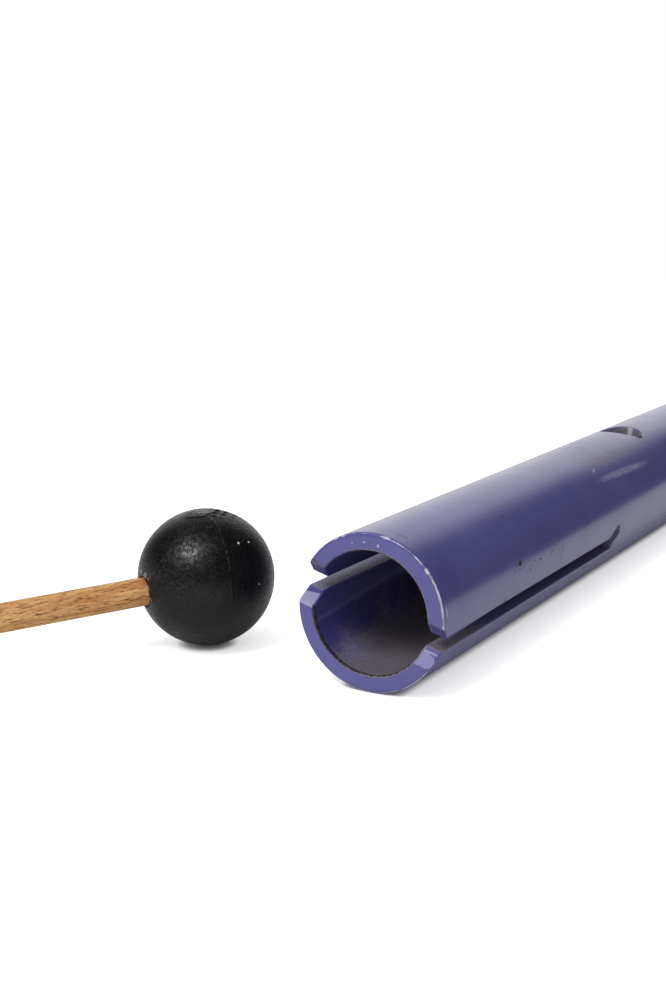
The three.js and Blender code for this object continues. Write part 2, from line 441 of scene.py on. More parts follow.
def weld(mesh):
    """Joins the patches' shared points, turns the faces outwards and counts the open edges."""
    work = bmesh.new()
    work.from_mesh(mesh)
    bmesh.ops.remove_doubles(work, verts=work.verts, dist=WELD_DISTANCE)
    bmesh.ops.dissolve_degenerate(work, edges=work.edges, dist=WELD_DISTANCE)
    bmesh.ops.delete(work, geom=[v for v in work.verts if not v.link_faces], context="VERTS")
    bmesh.ops.recalc_face_normals(work, faces=work.faces)
    open_edges = sum(not edge.is_manifold for edge in work.edges)
    work.to_mesh(mesh)
    work.free()
    return open_edges


def make_piece(name, patches):
    """Welds patches, each (points, wrap, keep), into one closed mesh object at the origin."""
    points, faces, count = [], [], 0
    for grid, wrap, keep in patches:
        points.append(grid.reshape(-1, 3))
        faces.append(grid_faces(grid.shape[0], grid.shape[1], wrap, keep) + count)
        count += grid.shape[0] * grid.shape[1]
    mesh = bpy.data.meshes.new(name)
    mesh.from_pydata(np.concatenate(points).tolist(), [], np.concatenate(faces).tolist())
    open_edges = weld(mesh)
    mesh.polygons.foreach_set("use_smooth", np.ones(len(mesh.polygons), bool))
    mesh.set_sharp_from_angle(angle=SHARP_ANGLE)
    piece = bpy.data.objects.new(name, mesh)
    bpy.context.scene.collection.objects.link(piece)
    print(name, len(mesh.polygons), "faces,", open_edges, "open edges")
    return piece


print("edges past", round(np.degrees(SHARP_ANGLE)), "degrees stay sharp")

# %% [markdown]
# The surfaces use a few small formulas again and again: a blend that fills a four-sided hole, a
# quarter circle for a rounded edge, an even ease, and stations that lie closer together where
# the shape turns quickly.

# %% Helpers for surfaces


def coons(top, bottom, first, last, down, along):
    """Fills a four-sided hole: top and bottom rows, first and last columns, as a blend of them.
    Each point is the blend of the rows plus the blend of the columns less that of the corners."""
    down, along = down[:, None, None], along[None, :, None]
    rows = (1 - down) * top[None] + down * bottom[None]
    columns = (1 - along) * first[:, None] + along * last[:, None]
    corners = ((1 - down) * ((1 - along) * top[0] + along * top[-1])
               + down * ((1 - along) * bottom[0] + along * bottom[-1]))
    return rows + columns - corners


def rounding(distance, radius):
    """How far a surface draws in near an edge rounded with that radius, by a quarter circle."""
    short = radius - np.clip(distance, 0, radius)
    return radius - np.sqrt(np.maximum(radius**2 - short**2, 0))


def quarter(radius, count):
    """A quarter circle in even turns, as what the cosine and what the sine leave of the radius."""
    turn = np.radians(np.linspace(0, 90, count))
    return radius * (1 - np.cos(turn)), radius * (1 - np.sin(turn))


def smooth(share):
    """Eases a share from 0 to 1: three times its square less twice its cube."""
    share = np.clip(share, 0, 1)
    return share**2 * (3 - 2 * share)


def steps(*stretches):
    """Stations along a line: each stretch is (from, to, count), and shared ends count once."""
    parts = [np.linspace(start, end, count + 1)[1:] for start, end, count in stretches]
    return np.concatenate([[stretches[0][0]], *parts])


def shares_along(points):
    """How far along a line of points each of them lies, from 0 to 1."""
    run = np.concatenate([[0], np.cumsum(np.hypot(*np.diff(points, axis=0).T))])
    return run / run[-1]


print("rounding of 1 mm at 0.3 mm from the edge:", round(float(rounding(0.3, 1.0)), 3))

# %% [markdown]
# A prong is a piece of pipe wall between the two slots: in section, an arc with a flat face at
# each end. The section is carried from the mouth to the slot's end, and it changes on the way.
# Near the mouth it draws in all round, which rounds the rim, and where the maker filed a corner
# off, its flat face stands back from the slot. A corner is a few points of (how deep into the
# tube, how far back): the upper right one was bent a little, and stands into the slot instead.

# %% The prong's section
RIM_ROUND = 0.9
BORE_EDGE_ROUND = 0.45
FACE_ROUND = 0.3
WALL_ROUND = 0.35
FILLET_STEPS = 3
FACE_STEPS = 7
CORNERS = {
    "left_upper": [(0, 4.1), (5.2, 0)],
    "left_lower": [(0, 3.3), (3.9, 1.0), (5.7, 0)],
    "right_upper": [(0, 2.7), (3.2, -0.8), (28, 0)],
    "right_lower": [(0, 4.9), (1.35, 1.1), (2.5, 0)],
}


def set_back(stations, corner):
    """How far a filed corner stands back from the slot at each station along the tube."""
    run, back = zip(*CORNERS[corner])
    return np.interp(stations, run, back, right=0)


def edge_angle(circle, half, side):
    """Where a flat face's rounded edge leaves a circle, as an angle from the slot's plane.
    side is -1 for the outside, where the edge's own circle lies within, and 1 for the bore."""
    return np.arcsin((half + WALL_ROUND) / (circle + side * WALL_ROUND))


def prong_arc(circle, right, left, side, share):
    """Points round a circle, from where the right face's edge leaves it to the left one's."""
    start = edge_angle(circle, right, side)
    end = np.pi - edge_angle(circle, left, side)
    angle = start + (end - start) * share
    return np.stack([circle * np.cos(angle), circle * np.sin(angle)], axis=-1)


def prong_wall(outer, bore, half):
    """The right-hand flat face with its two rounded edges, from the outside to the bore.
    Each edge is an arc whose circle touches the face and the pipe's own circle."""
    turn = np.linspace(0, 1, FILLET_STEPS + 1)
    rise = half + WALL_ROUND
    out_u = np.sqrt((outer - WALL_ROUND) ** 2 - rise**2)
    out_from = np.arctan2(rise, out_u)
    out_angle = out_from + (-np.pi / 2 - out_from) * turn
    in_u = np.sqrt((bore + WALL_ROUND) ** 2 - rise**2)
    in_to = np.arctan2(rise, in_u) - np.pi
    in_angle = -np.pi / 2 + (in_to + np.pi / 2) * turn
    across = np.linspace(0, 1, FACE_STEPS + 1)[1:-1]
    u = np.concatenate([out_u + WALL_ROUND * np.cos(out_angle), out_u + (in_u - out_u) * across,
                        in_u + WALL_ROUND * np.cos(in_angle)], axis=1)
    v = np.concatenate([rise + WALL_ROUND * np.sin(out_angle), half + 0 * across,
                        rise + WALL_ROUND * np.sin(in_angle)], axis=1)
    return np.stack([u, v], axis=-1)


def prong_sides(stations, right_corner, left_corner, share):
    """The prong's outer arc, bore arc and two flat faces at each station, in its own frame."""
    s = stations[:, None]
    outer = TUBE_RADIUS - rounding(s, RIM_ROUND)
    bore = BORE_RADIUS + rounding(s, BORE_EDGE_ROUND)
    right = SLOT_HALF + set_back(s, right_corner) + rounding(s, FACE_ROUND)
    left = SLOT_HALF + set_back(s, left_corner) + rounding(s, FACE_ROUND)
    outside = prong_arc(outer, right, left, -1, share)
    inside = prong_arc(bore, right, left, 1, share)
    return outside, inside, prong_wall(outer, bore, right), prong_wall(outer, bore, left) * [-1, 1]


print("filed corners", sorted(CORNERS))

# %% [markdown]
# The maker's saw ran on past the slot's upper right corner and left a short round-ended notch,
# cut about half through the wall. It is a dent in the finished grid: inside its outline the wall
# is pressed towards the bore. The outline is a line that climbs from the corner, with a width.

# %% The run-out notch
NOTCH_HALF = 1.85
NOTCH_REACH = 5.4
NOTCH_DEPTH = 2.6
NOTCH_CLIMB = np.radians(25)
NOTCH_SIDE = 0.5
SLOT_EDGE_ANGLE = np.arcsin(SLOT_HALF / TUBE_RADIUS)


def notch_depth(s, angle):
    """Depth of the notch at a station and an angle from the slot's plane.
    It is full where the distance to the notch's middle line is under its half width."""
    along = s - SLOT_LENGTH
    climb = TUBE_RADIUS * (angle - SLOT_EDGE_ANGLE)
    forward = along * np.cos(NOTCH_CLIMB) + climb * np.sin(NOTCH_CLIMB)
    sideways = climb * np.cos(NOTCH_CLIMB) - along * np.sin(NOTCH_CLIMB)
    past_tip = np.maximum(forward - (NOTCH_REACH - NOTCH_HALF), 0)
    inside = NOTCH_HALF - np.hypot(past_tip, sideways)
    on_this_side = (np.abs(angle) < 1) & (forward > -NOTCH_REACH)
    return NOTCH_DEPTH * smooth(inside / NOTCH_SIDE) * on_this_side


def press_notch(u, v, s):
    """Moves points towards the bore by the notch's depth, the outside most and the bore not."""
    radius = np.hypot(u, v)
    share = np.clip((radius - BORE_RADIUS) / TUBE_WALL, 0, 1)
    factor = 1 - notch_depth(s, np.arctan2(v, u)) * share / np.maximum(radius, 1e-6)
    return u * factor, v * factor


def on_tube(u, v, s):
    """Turns slot coordinates (along the slot's plane, square to it, from the mouth) into metres."""
    u, v = press_notch(u, v, s)
    x = AXIS_X + u * np.cos(SLOT_ROLL) + v * np.sin(SLOT_ROLL)
    z = AXIS_Z - u * np.sin(SLOT_ROLL) + v * np.cos(SLOT_ROLL)
    return np.stack(np.broadcast_arrays(x, MOUTH_Y + s, z), axis=-1) * MM


print("notch is", NOTCH_DEPTH, "mm deep")

# %% [markdown]
# The two prongs use the same functions. The lower one is the upper one turned half a turn, so
# its right corner in its own frame is the picture's left. Stations lie close together where the
# shape turns quickly, at the rim, on the filed corners and at the notch. Each mouth end is then
# closed by a four-sided patch between the prong's arcs and flat faces.

# %% The prongs
RIM_STATIONS = quarter(RIM_ROUND, 9)[0]
PRONG_STATIONS = np.unique(np.concatenate([
    RIM_STATIONS,
    steps((RIM_ROUND, 2.6, 7), (2.6, 7, 11), (7, 20, 8), (20, 121, 22), (121, SLOT_LENGTH, 20)),
]))
UPPER_SHARE = steps((0, 0.105, 24), (0.105, 1, 68))
LOWER_SHARE = np.linspace(0, 1, 81)
PRONGS = {
    "upper": ("right_upper", "left_upper", UPPER_SHARE, 1),
    "lower": ("left_lower", "right_lower", LOWER_SHARE, -1),
}


def prong_patches(right_corner, left_corner, share, sign):
    """The prong's skin, carried along the stations, and the patch that closes its mouth end."""
    outside, inside, right, left = prong_sides(PRONG_STATIONS, right_corner, left_corner, share)
    loop = np.concatenate([outside, left[:, 1:-1], inside[:, ::-1], right[:, -2:0:-1]], axis=1)
    around = on_tube(sign * loop[..., 0], sign * loop[..., 1], PRONG_STATIONS[:, None])
    face = coons(outside[0], inside[0], right[0], left[0], shares_along(right[0]), share)
    cap = on_tube(sign * face[..., 0], sign * face[..., 1], 0.0)
    return [(around, True, None), (cap, False, None)]


tube_patches = [patch for prong in PRONGS.values() for patch in prong_patches(*prong)]
print(len(PRONG_STATIONS), "stations along each prong")

# %% [markdown]
# Behind the slot the pipe is whole. Its skin runs in one sheet: along the outside, round the far
# rim, down into the seat that holds the plug and back along the bore. Its columns have to meet
# the prongs' columns, so their angles are taken from the prongs' arcs, with a few more across
# the end of each slot. There the outer edge is rounded too, but not at the slot's corners.

# %% The closed half's columns
SLOT_END_STEPS = 14
SLOT_END_ROUND = 0.35


def middle_weight(across):
    """1 over most of a slot's end, falling to 0 at its two corners."""
    return 1 - (2 * across - 1) ** 4


def ring_angles(circle, side):
    """The angle of each column round a circle, and the weight of its edge at a slot's end."""
    edge = edge_angle(circle, SLOT_HALF, side)
    across = np.linspace(0, 1, SLOT_END_STEPS + 1)[1:-1]
    upper = edge + (np.pi - 2 * edge) * UPPER_SHARE
    left = np.pi - edge + 2 * edge * across
    lower = np.pi + edge + (np.pi - 2 * edge) * LOWER_SHARE
    right = 2 * np.pi - edge + 2 * edge * across
    weight = middle_weight(across)
    angles = np.concatenate([upper, left, lower, right])
    weights = np.concatenate([0 * upper, weight, 0 * lower, weight])
    return angles, weights


outer_angles, slot_end_weight = ring_angles(TUBE_RADIUS, -1)
bore_angles, _ = ring_angles(BORE_RADIUS, 1)
print(len(outer_angles), "columns round the closed half")

# %% [markdown]
# The rows of the sheet are stations again, now of two numbers: the distance from the mouth and
# the radius. The far rim is rounded, and inside it a short step widens the bore for the plug.
# The thumb hole's window needs rows at its ends both outside and in the bore.

# %% The closed half's rows
HOLE_FROM_MOUTH = 188
WINDOW_HALF_LENGTH = 10.5
WINDOW_ROWS = 26
FAR_ROUND = 0.8
SEAT_RADIUS = BORE_RADIUS + 0.8
SEAT_DEPTH = 12.3
SEAT_BREAK = 0.2

window_start = HOLE_FROM_MOUTH - WINDOW_HALF_LENGTH
window_end = HOLE_FROM_MOUTH + WINDOW_HALF_LENGTH
seat_floor = TUBE_LENGTH - SEAT_DEPTH
slot_end_turn = np.radians([0, 20, 40, 60])
outer_rows = np.concatenate([
    SLOT_LENGTH + SLOT_END_ROUND * (1 - np.cos(slot_end_turn)),
    steps((SLOT_LENGTH + SLOT_END_ROUND, 133, 24), (133, window_start, 12),
          (window_start, window_end, WINDOW_ROWS), (window_end, TUBE_LENGTH - FAR_ROUND, 30)),
])
far_drop, far_left = quarter(FAR_ROUND, 7)
far_profile = np.stack([TUBE_LENGTH - far_left, TUBE_RADIUS - far_drop], axis=-1)[1:]
seat_profile = np.array([
    (TUBE_LENGTH, TUBE_RADIUS - FAR_ROUND - 1),
    (TUBE_LENGTH, SEAT_RADIUS + 1),
    (TUBE_LENGTH, SEAT_RADIUS + SEAT_BREAK),
    (TUBE_LENGTH - SEAT_BREAK, SEAT_RADIUS),
    (TUBE_LENGTH - 2, SEAT_RADIUS),
    (seat_floor, SEAT_RADIUS),
    (seat_floor, BORE_RADIUS),
])
bore_rows = steps((seat_floor, window_end, 24), (window_end, window_start, WINDOW_ROWS),
                  (window_start, SLOT_LENGTH, 14))[1:]
print(len(outer_rows), "rows outside,", len(bore_rows), "in the bore")

# %% [markdown]
# The thumb hole is drilled through the top wall, a little to the right of the top. A window of
# the sheet's cells is left out round it, outside and in the bore. One patch then runs from the
# outer window in to the hole's rounded edge, down through the wall and out to the bore's window.

# %% The thumb hole
HOLE_RADIUS = 7.25
HOLE_TURN = 87
HOLE_ANGLE = np.radians(HOLE_TURN) + SLOT_ROLL
HOLE_EDGE_ROUND = 0.5
HOLE_SHEET_RINGS = 8
HOLE_EDGE_RINGS = 5
HOLE_WALL_RINGS = 6


def hole_ring(length, side, height):
    """One ring of points from its distances along the tube, across the hole and from the axis."""
    u = height * np.cos(HOLE_ANGLE) - side * np.sin(HOLE_ANGLE)
    v = height * np.sin(HOLE_ANGLE) + side * np.cos(HOLE_ANGLE)
    return on_tube(u, v, HOLE_FROM_MOUTH + length)


def sheet_rings(border, turn, circle):
    """Rings on the sheet, from the window's border almost to the hole's rounded edge.
    A border is (distance from the hole's middle along the tube, angle from it round the tube)."""
    wide = HOLE_RADIUS + HOLE_EDGE_ROUND
    rings = []
    for share in np.linspace(0, 1, HOLE_SHEET_RINGS)[:-1]:
        length = border[0] + (wide * np.cos(turn) - border[0]) * share
        angle = border[1] + (np.arcsin(wide * np.sin(turn) / circle) - border[1]) * share
        rings.append(hole_ring(length, circle * np.sin(angle), circle * np.cos(angle)))
    return rings


def edge_rings(turn, circle, sign):
    """Rings round the hole's edge: a quarter circle from the sheet into the hole's wall."""
    rings = []
    for down, left in zip(*quarter(HOLE_EDGE_ROUND, HOLE_EDGE_RINGS)):
        side = (HOLE_RADIUS + left) * np.sin(turn)
        height = np.sqrt(circle**2 - side**2) - sign * down
        rings.append(hole_ring((HOLE_RADIUS + left) * np.cos(turn), side, height))
    return rings


def wall_rings(turn):
    """Rings down the hole's wall, between its two rounded edges."""
    side = HOLE_RADIUS * np.sin(turn)
    top = np.sqrt(TUBE_RADIUS**2 - side**2) - HOLE_EDGE_ROUND
    bottom = np.sqrt(BORE_RADIUS**2 - side**2) + HOLE_EDGE_ROUND
    return [hole_ring(HOLE_RADIUS * np.cos(turn), side, top + (bottom - top) * share)
            for share in np.linspace(0, 1, HOLE_WALL_RINGS)[1:-1]]


def hole_patch(outer_border, bore_border):
    """Rings from the outer window to the hole's edge, down its wall and out to the bore's window."""
    turn = np.arctan2(TUBE_RADIUS * np.sin(outer_border[1]), outer_border[0])
    return np.array(sheet_rings(outer_border, turn, TUBE_RADIUS)
                    + edge_rings(turn, TUBE_RADIUS, 1)
                    + wall_rings(turn)
                    + edge_rings(turn, BORE_RADIUS, -1)[::-1]
                    + sheet_rings(bore_border, turn, BORE_RADIUS)[::-1])


print("thumb hole", 2 * HOLE_RADIUS, "mm across")

# %% [markdown]
# Now the sheet itself. Its angles change from the outside's to the bore's on the far end, and the
# edge at each slot's end dips. The window's rows and columns are found by where they lie, and
# the cells between them are left out.

# %% The closed half
WINDOW_HALF_ANGLE = np.radians(33)
TURN_ROWS = 4


def closed_half():
    """The sheet's points in slot coordinates, and the rows and columns of its two windows."""
    s = np.concatenate([outer_rows, far_profile[:, 0], seat_profile[:, 0], bore_rows])
    radius = np.concatenate([0 * outer_rows + TUBE_RADIUS, far_profile[:, 1], seat_profile[:, 1],
                             0 * bore_rows + BORE_RADIUS])
    row = np.arange(len(s))
    first_inner = len(outer_rows) + len(far_profile)
    inwards = np.clip((row - first_inner + 1) / TURN_ROWS, 0, 1)[:, None]
    angle = (1 - inwards) * outer_angles + inwards * bore_angles
    on_outside = row < len(outer_rows)
    dip = rounding(s[:, None] - SLOT_LENGTH, SLOT_END_ROUND) * slot_end_weight * on_outside[:, None]
    columns = np.flatnonzero(np.abs(outer_angles - HOLE_ANGLE) < WINDOW_HALF_ANGLE)
    in_window = (s > window_start - 0.01) & (s < window_end + 0.01)
    outer_window = np.flatnonzero(in_window & on_outside)
    bore_window = np.flatnonzero(in_window & ~on_outside)[::-1]
    return s, angle, radius[:, None] - dip, outer_window, bore_window, columns


def window_border(rows, columns):
    """Row and column of each point round a window, in order, each once."""
    top = [(rows[0], c) for c in columns[:-1]]
    right = [(r, columns[-1]) for r in rows[:-1]]
    bottom = [(rows[-1], c) for c in columns[:0:-1]]
    left = [(r, columns[0]) for r in rows[:0:-1]]
    return np.array(top + right + bottom + left).T


def closed_half_patches():
    """The closed half's sheet without its two windows, and the patch through the hole."""
    s, angle, radius, outer_window, bore_window, columns = closed_half()
    sheet = on_tube(radius * np.cos(angle), radius * np.sin(angle), s[:, None])
    keep = np.ones((len(s) - 1, angle.shape[1]), bool)
    borders = []
    for rows in (outer_window, bore_window):
        keep[rows.min():rows.max(), columns[0]:columns[-1]] = False
        row, column = window_border(rows, columns)
        borders.append(np.array([s[row] - HOLE_FROM_MOUTH, angle[row, column] - HOLE_ANGLE]))
    return [(sheet, True, keep), (hole_patch(*borders), True, None)]


tube_patches += closed_half_patches()
print(len(tube_patches), "patches so far")

# %% [markdown]
# Each slot ends in a small flat wall, square to the tube. It is one more four-sided patch, whose
# sides are the last faces of the two prongs. With it the skin is closed, and the finished tube
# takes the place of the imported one.

# %% The slots' ends, and the tube


def slot_end_patch(upper_side):
    """The flat end of one slot. upper_side is 1 for the right slot and -1 for the left one."""
    ends = np.array([0.0, 1.0])
    _, _, walls, _ = prong_sides(np.array([SLOT_LENGTH]), "right_upper", "left_upper", ends)
    upper = walls[0] * [upper_side, 1]
    lower = walls[0] * [upper_side, -1]
    across = np.linspace(0, 1, SLOT_END_STEPS + 1)
    borders = []
    for circle, side, depth in ((TUBE_RADIUS, -1, SLOT_END_ROUND), (BORE_RADIUS, 1, 0)):
        angle = edge_angle(circle, SLOT_HALF, side) * (1 - 2 * across)
        radius = circle - depth * middle_weight(across)
        borders.append(np.stack([upper_side * radius * np.cos(angle), radius * np.sin(angle)], -1))
    face = coons(borders[0], borders[1], upper, lower, shares_along(walls[0]), across)
    return on_tube(face[..., 0], face[..., 1], SLOT_LENGTH), False, None


tube_patches += [slot_end_patch(1), slot_end_patch(-1)]
tube = make_piece("painted_tube", tube_patches)
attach(tube, "tube")
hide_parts("tube")

# %% [markdown]
# Nothing of the far end is in the photograph. A pipe like this sounds an octave lower when its
# far end is closed, so a steel disc is pressed in there, flush with the end. The disc is turned:
# its profile goes round the tube's axis, from the inner face over the broken edge to the outer.

# %% The end plug
PLUG_EDGE = 0.5
PLUG_FLAT_RING = 2
PLUG_COLUMNS = 144
PLUG_EDGE_ROWS = 5


def turned_points(profile, columns, place):
    """A profile of (radius, distance along the axis) pairs carried round the axis, poles and all.
    place turns the three coordinates (across, along, up) into points of the scene, in metres."""
    turn = np.linspace(0, 2 * np.pi, columns, endpoint=False)
    radius, along = np.asarray(profile, float).T[:, :, None]
    return place(radius * np.cos(turn), along + 0 * turn, radius * np.sin(turn))


def in_tube(across, along, up):
    """From the tube's own frame: across and up from the axis, and along it from the mouth."""
    return np.stack([AXIS_X + across, MOUTH_Y + along, AXIS_Z + up], axis=-1) * MM


def plug_profile(radius, front, back):
    """From the middle of the inner face out, over both broken edges and in to the outer middle."""
    edge_in, edge_out = quarter(PLUG_EDGE, PLUG_EDGE_ROWS)
    return np.concatenate([
        [(0, front), (radius - PLUG_FLAT_RING, front)],
        np.stack([radius - edge_out, front + edge_in], -1),
        [(radius, (front + back) / 2)],
        np.stack([radius - edge_out, back - edge_in], -1)[::-1],
        [(radius - PLUG_FLAT_RING, back), (0, back)],
    ])


plug_low, plug_high = (np.array(corner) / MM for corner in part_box("end_plug"))
plug_outline = plug_profile((plug_high[0] - plug_low[0]) / 2, plug_low[1] - MOUTH_Y, TUBE_LENGTH)
plug = make_piece("end_disc", [(turned_points(plug_outline, PLUG_COLUMNS, in_tube), True, None)])
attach(plug, "tube")
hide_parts("end_plug")

# %% [markdown]
# The mallet lies beside the mouth, swung away from the tube's line. Its ball and the end of its
# stick both rest on the table, so the stick slopes a little. Its own frame has its origin in the
# ball's middle and its second axis along the stick, from the free end towards the ball.

# %% The mallet's frame
BALL_RADIUS = 19.25
BALL_BORE_DROP = 1.0
SWING = np.radians(33.6)
SLOPE = np.radians(3.4)
ball_low, ball_high = (np.array(corner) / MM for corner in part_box("mallet_head"))
BALL_MIDDLE = (ball_low + ball_high) / 2
STICK_AXIS = np.array([np.sin(SWING) * np.cos(SLOPE), np.cos(SWING) * np.cos(SLOPE), np.sin(SLOPE)])
SIDE_AXIS = np.array([np.cos(SWING), -np.sin(SWING), 0])
UP_AXIS = np.cross(SIDE_AXIS, STICK_AXIS)


def in_mallet(across, along, up):
    """From the mallet's own frame to the scene, in metres."""
    shares = np.stack(np.broadcast_arrays(across, along, up), axis=-1)
    return (BALL_MIDDLE + shares @ np.array([SIDE_AXIS, STICK_AXIS, UP_AXIS])) * MM


print("ball's middle", BALL_MIDDLE.round(2))

# %% [markdown]
# The ball is moulded rubber. The mould's two halves met square to the stick and left a thin,
# uneven ridge. On top a flattened nub shows where the rubber came in: it sits on a low ledge, a
# torn groove runs round it, and the rubber behind it lies in small folds. Each of these is a
# height over the plain sphere. Waves of a few sines make their edges uneven.

# %% The ball's relief
SEAM_HEIGHT = 0.13
SEAM_HALF_WIDTH = 0.4
SEAM_SKEW = 0.8
SEAM_SKEW_TOP = 17.5
SEAM_WANDER = 0.06
NUB_RADIUS = 2.5
NUB_UP = 19.3
NUB_ACROSS = 1.2
NUB_ALONG = 0.4
LEDGE_HEIGHT = 0.2
LEDGE_MIDDLE = (1.6, -1.3)
LEDGE_RADII = (3.4, 4.3)
LEDGE_RAGGED = 0.06
LEDGE_SIDE = 0.12
GROOVE_DEPTH = 0.14
GROOVE_WIDTH = 0.35
GROOVE_FROM_NUB = 0.2
FOLD_HEIGHT = 0.26
FOLD_MIDDLE = (2.5, 4)
FOLD_RADII = (6, 7)


def wavy(angle, seed, lowest, highest, count=7):
    """A smooth random wave round a circle, between about -1 and 1: a sum of a few sines."""
    random = np.random.default_rng(seed)
    total = 0 * angle
    for _ in range(count):
        total = total + np.sin(random.integers(lowest, highest) * angle + random.uniform(0, 6.28))
    return total / np.sqrt(count)


def ridge_height(across, along, up):
    """The mould's ridge: a low arch across its wandering middle line, uneven on its way round."""
    turn = np.arctan2(up, across)
    middle = SEAM_SKEW * np.sin(turn) * (up < SEAM_SKEW_TOP) + SEAM_WANDER * wavy(turn, 3, 2, 9)
    height = SEAM_HEIGHT * (0.6 + 0.4 * wavy(turn, 5, 5, 40))
    return height * np.clip(1 - ((along - middle) / SEAM_HALF_WIDTH) ** 2, 0, 1)


def ledge_height(across, along, up):
    """The ledge under the nub: an oval with a ragged edge and a steep side."""
    x, y = across - LEDGE_MIDDLE[0], along - LEDGE_MIDDLE[1]
    out = np.hypot(x / LEDGE_RADII[0], y / LEDGE_RADII[1])
    edge = 1 + LEDGE_RAGGED * wavy(np.arctan2(y, x), 8, 2, 9)
    return LEDGE_HEIGHT * smooth((edge - out) / LEDGE_SIDE) * (up > 0)


def groove_depth(across, along, up):
    """The torn groove round the nub: a bell across its middle line, which comes and goes."""
    x, y = across - NUB_ACROSS, along - NUB_ALONG
    from_middle = np.hypot(x, y) - NUB_RADIUS - GROOVE_FROM_NUB
    torn = np.clip(0.5 + 0.8 * wavy(np.arctan2(y, x), 21, 1, 3), 0, 1)
    return GROOVE_DEPTH * np.exp(-((from_middle / GROOVE_WIDTH) ** 2)) * torn * (up > 0)


def fold_height(across, along, up):
    """The folds behind the nub: two waves that cross, fading out away from their middle."""
    waves = wavy(along / 2.3 + across / 3.1, 11, 1, 6) * wavy(along / 4 - across / 1.7, 12, 1, 6)
    out = np.hypot((across - FOLD_MIDDLE[0]) / FOLD_RADII[0], (along - FOLD_MIDDLE[1]) / FOLD_RADII[1])
    near = np.clip(1.4 - 1.4 * out, 0, 1) * (up > 0)
    off_nub = np.hypot(across - NUB_ACROSS, along - NUB_ALONG) > NUB_RADIUS
    return FOLD_HEIGHT * waves * near * off_nub


def ball_lift(direction):
    """How far the skin stands out from the sphere in each direction from its middle."""
    place = np.moveaxis(direction, -1, 0) * BALL_RADIUS
    raised = np.maximum(ridge_height(*place), ledge_height(*place))
    return raised - groove_depth(*place) + fold_height(*place)


print("ridge", SEAM_HEIGHT, "mm, ledge", LEDGE_HEIGHT, "mm high")

# %% [markdown]
# The ball is a sphere of rings about the stick's direction. Rings and columns crowd together
# where the ridge and the nub are, and the last rings slide down to the bore, which sits a little
# low. The bore goes in over a small rounded lead, down its wall and across its floor.

# %% The rubber ball
SEAM_BAND = 1.6
NUB_BAND = 9.5
NUB_COLUMNS_HALF = 17
SLIDE_START = 120
BORE_HOLE_RADIUS = 4.3
BORE_LEAD = 0.5
BORE_BOTTOM = 4.75
top_start, top_end = np.radians([90 - NUB_COLUMNS_HALF, 90 + NUB_COLUMNS_HALF])
BALL_TURN = np.concatenate([
    np.linspace(top_start, top_end, 42, endpoint=False),
    np.linspace(top_end, 2 * np.pi + top_start, 118, endpoint=False),
])


def ball_skin():
    """Rings from the far pole to the bore's edge, as a grid of points in the mallet's frame."""
    seam = np.degrees(SEAM_BAND / BALL_RADIUS)
    nub = np.degrees(NUB_BAND / BALL_RADIUS)
    bore_edge = 180 - np.degrees(np.arcsin((BORE_HOLE_RADIUS + BORE_LEAD) / BALL_RADIUS))
    degrees = steps((0, 90 - nub, 26), (90 - nub, 90 - seam, 26), (90 - seam, 90 + seam, 28),
                    (90 + seam, 90 + nub / 2, 12), (90 + nub / 2, bore_edge, 30))[:, None]
    slide = smooth((degrees - SLIDE_START) / (bore_edge - SLIDE_START))
    angle = np.radians(degrees)
    across = np.sin(angle) * np.cos(BALL_TURN)
    up = np.sin(angle) * np.sin(BALL_TURN) - slide * BALL_BORE_DROP / BALL_RADIUS
    along = np.sqrt(np.maximum(1 - across**2 - up**2, 0)) * np.sign(np.cos(angle))
    direction = np.stack([across, along, up], axis=-1)
    nub_middle = np.array([NUB_ACROSS, NUB_ALONG, NUB_UP])
    towards_nub = nub_middle / np.linalg.norm(nub_middle)
    flat_nub = NUB_UP / np.maximum(direction @ towards_nub, 0.5)
    distance = np.minimum(BALL_RADIUS + ball_lift(direction), flat_nub)
    return direction * distance[..., None]


def ball_bore(rim_along):
    """Rings of the bore from its rounded lead down its wall to the middle of its floor."""
    lead_in, lead_out = (lead[1:] for lead in quarter(BORE_LEAD, 6))
    rings = [(BORE_HOLE_RADIUS + out, rim_along + deep) for deep, out in zip(lead_in, lead_out)]
    rings += [(BORE_HOLE_RADIUS, rim_along * (1 - share) + BORE_BOTTOM * share)
              for share in (0.2, 0.5, 0.8, 1)]
    rings.append((0.0, BORE_BOTTOM + 0 * rim_along))
    return np.array([np.stack([radius * np.cos(BALL_TURN), along,
                               radius * np.sin(BALL_TURN) - BALL_BORE_DROP], -1)
                     for radius, along in rings])


ball_rings = ball_skin()
ball_points = np.concatenate([ball_rings, ball_bore(ball_rings[-1, :, 1])])
ball = make_piece("rubber_ball", [(in_mallet(*np.moveaxis(ball_points, -1, 0)), True, None)])
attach(ball, "mallet")
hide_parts("mallet_head")

# %% [markdown]
# The stick is a beech dowel, as thick as a pencil. A dowel is turned, so it is a profile round
# the stick's axis: a sawn end inside the ball, a long even stretch and a free end rounded over.
# A hand-sanded dowel isn't quite even, so its radius swells and shrinks by a hair.

# %% The beech stick
STICK_RADIUS = 4.0
STICK_INNER_END = 4.45
STICK_LENGTH = 250
STICK_END_ROUND = 1.4
STICK_BREAK = 0.4
STICK_SWELL = 0.03
STICK_COLUMNS = 96


def swell(along, angle):
    """The factor of the stick's radius: a slow wave along it that turns as it goes."""
    wave = 0.5 + 0.5 * np.sin(along / 17 + 2 * angle) * np.cos(along / 41 - angle)
    return 1 - STICK_SWELL / STICK_RADIUS * wave


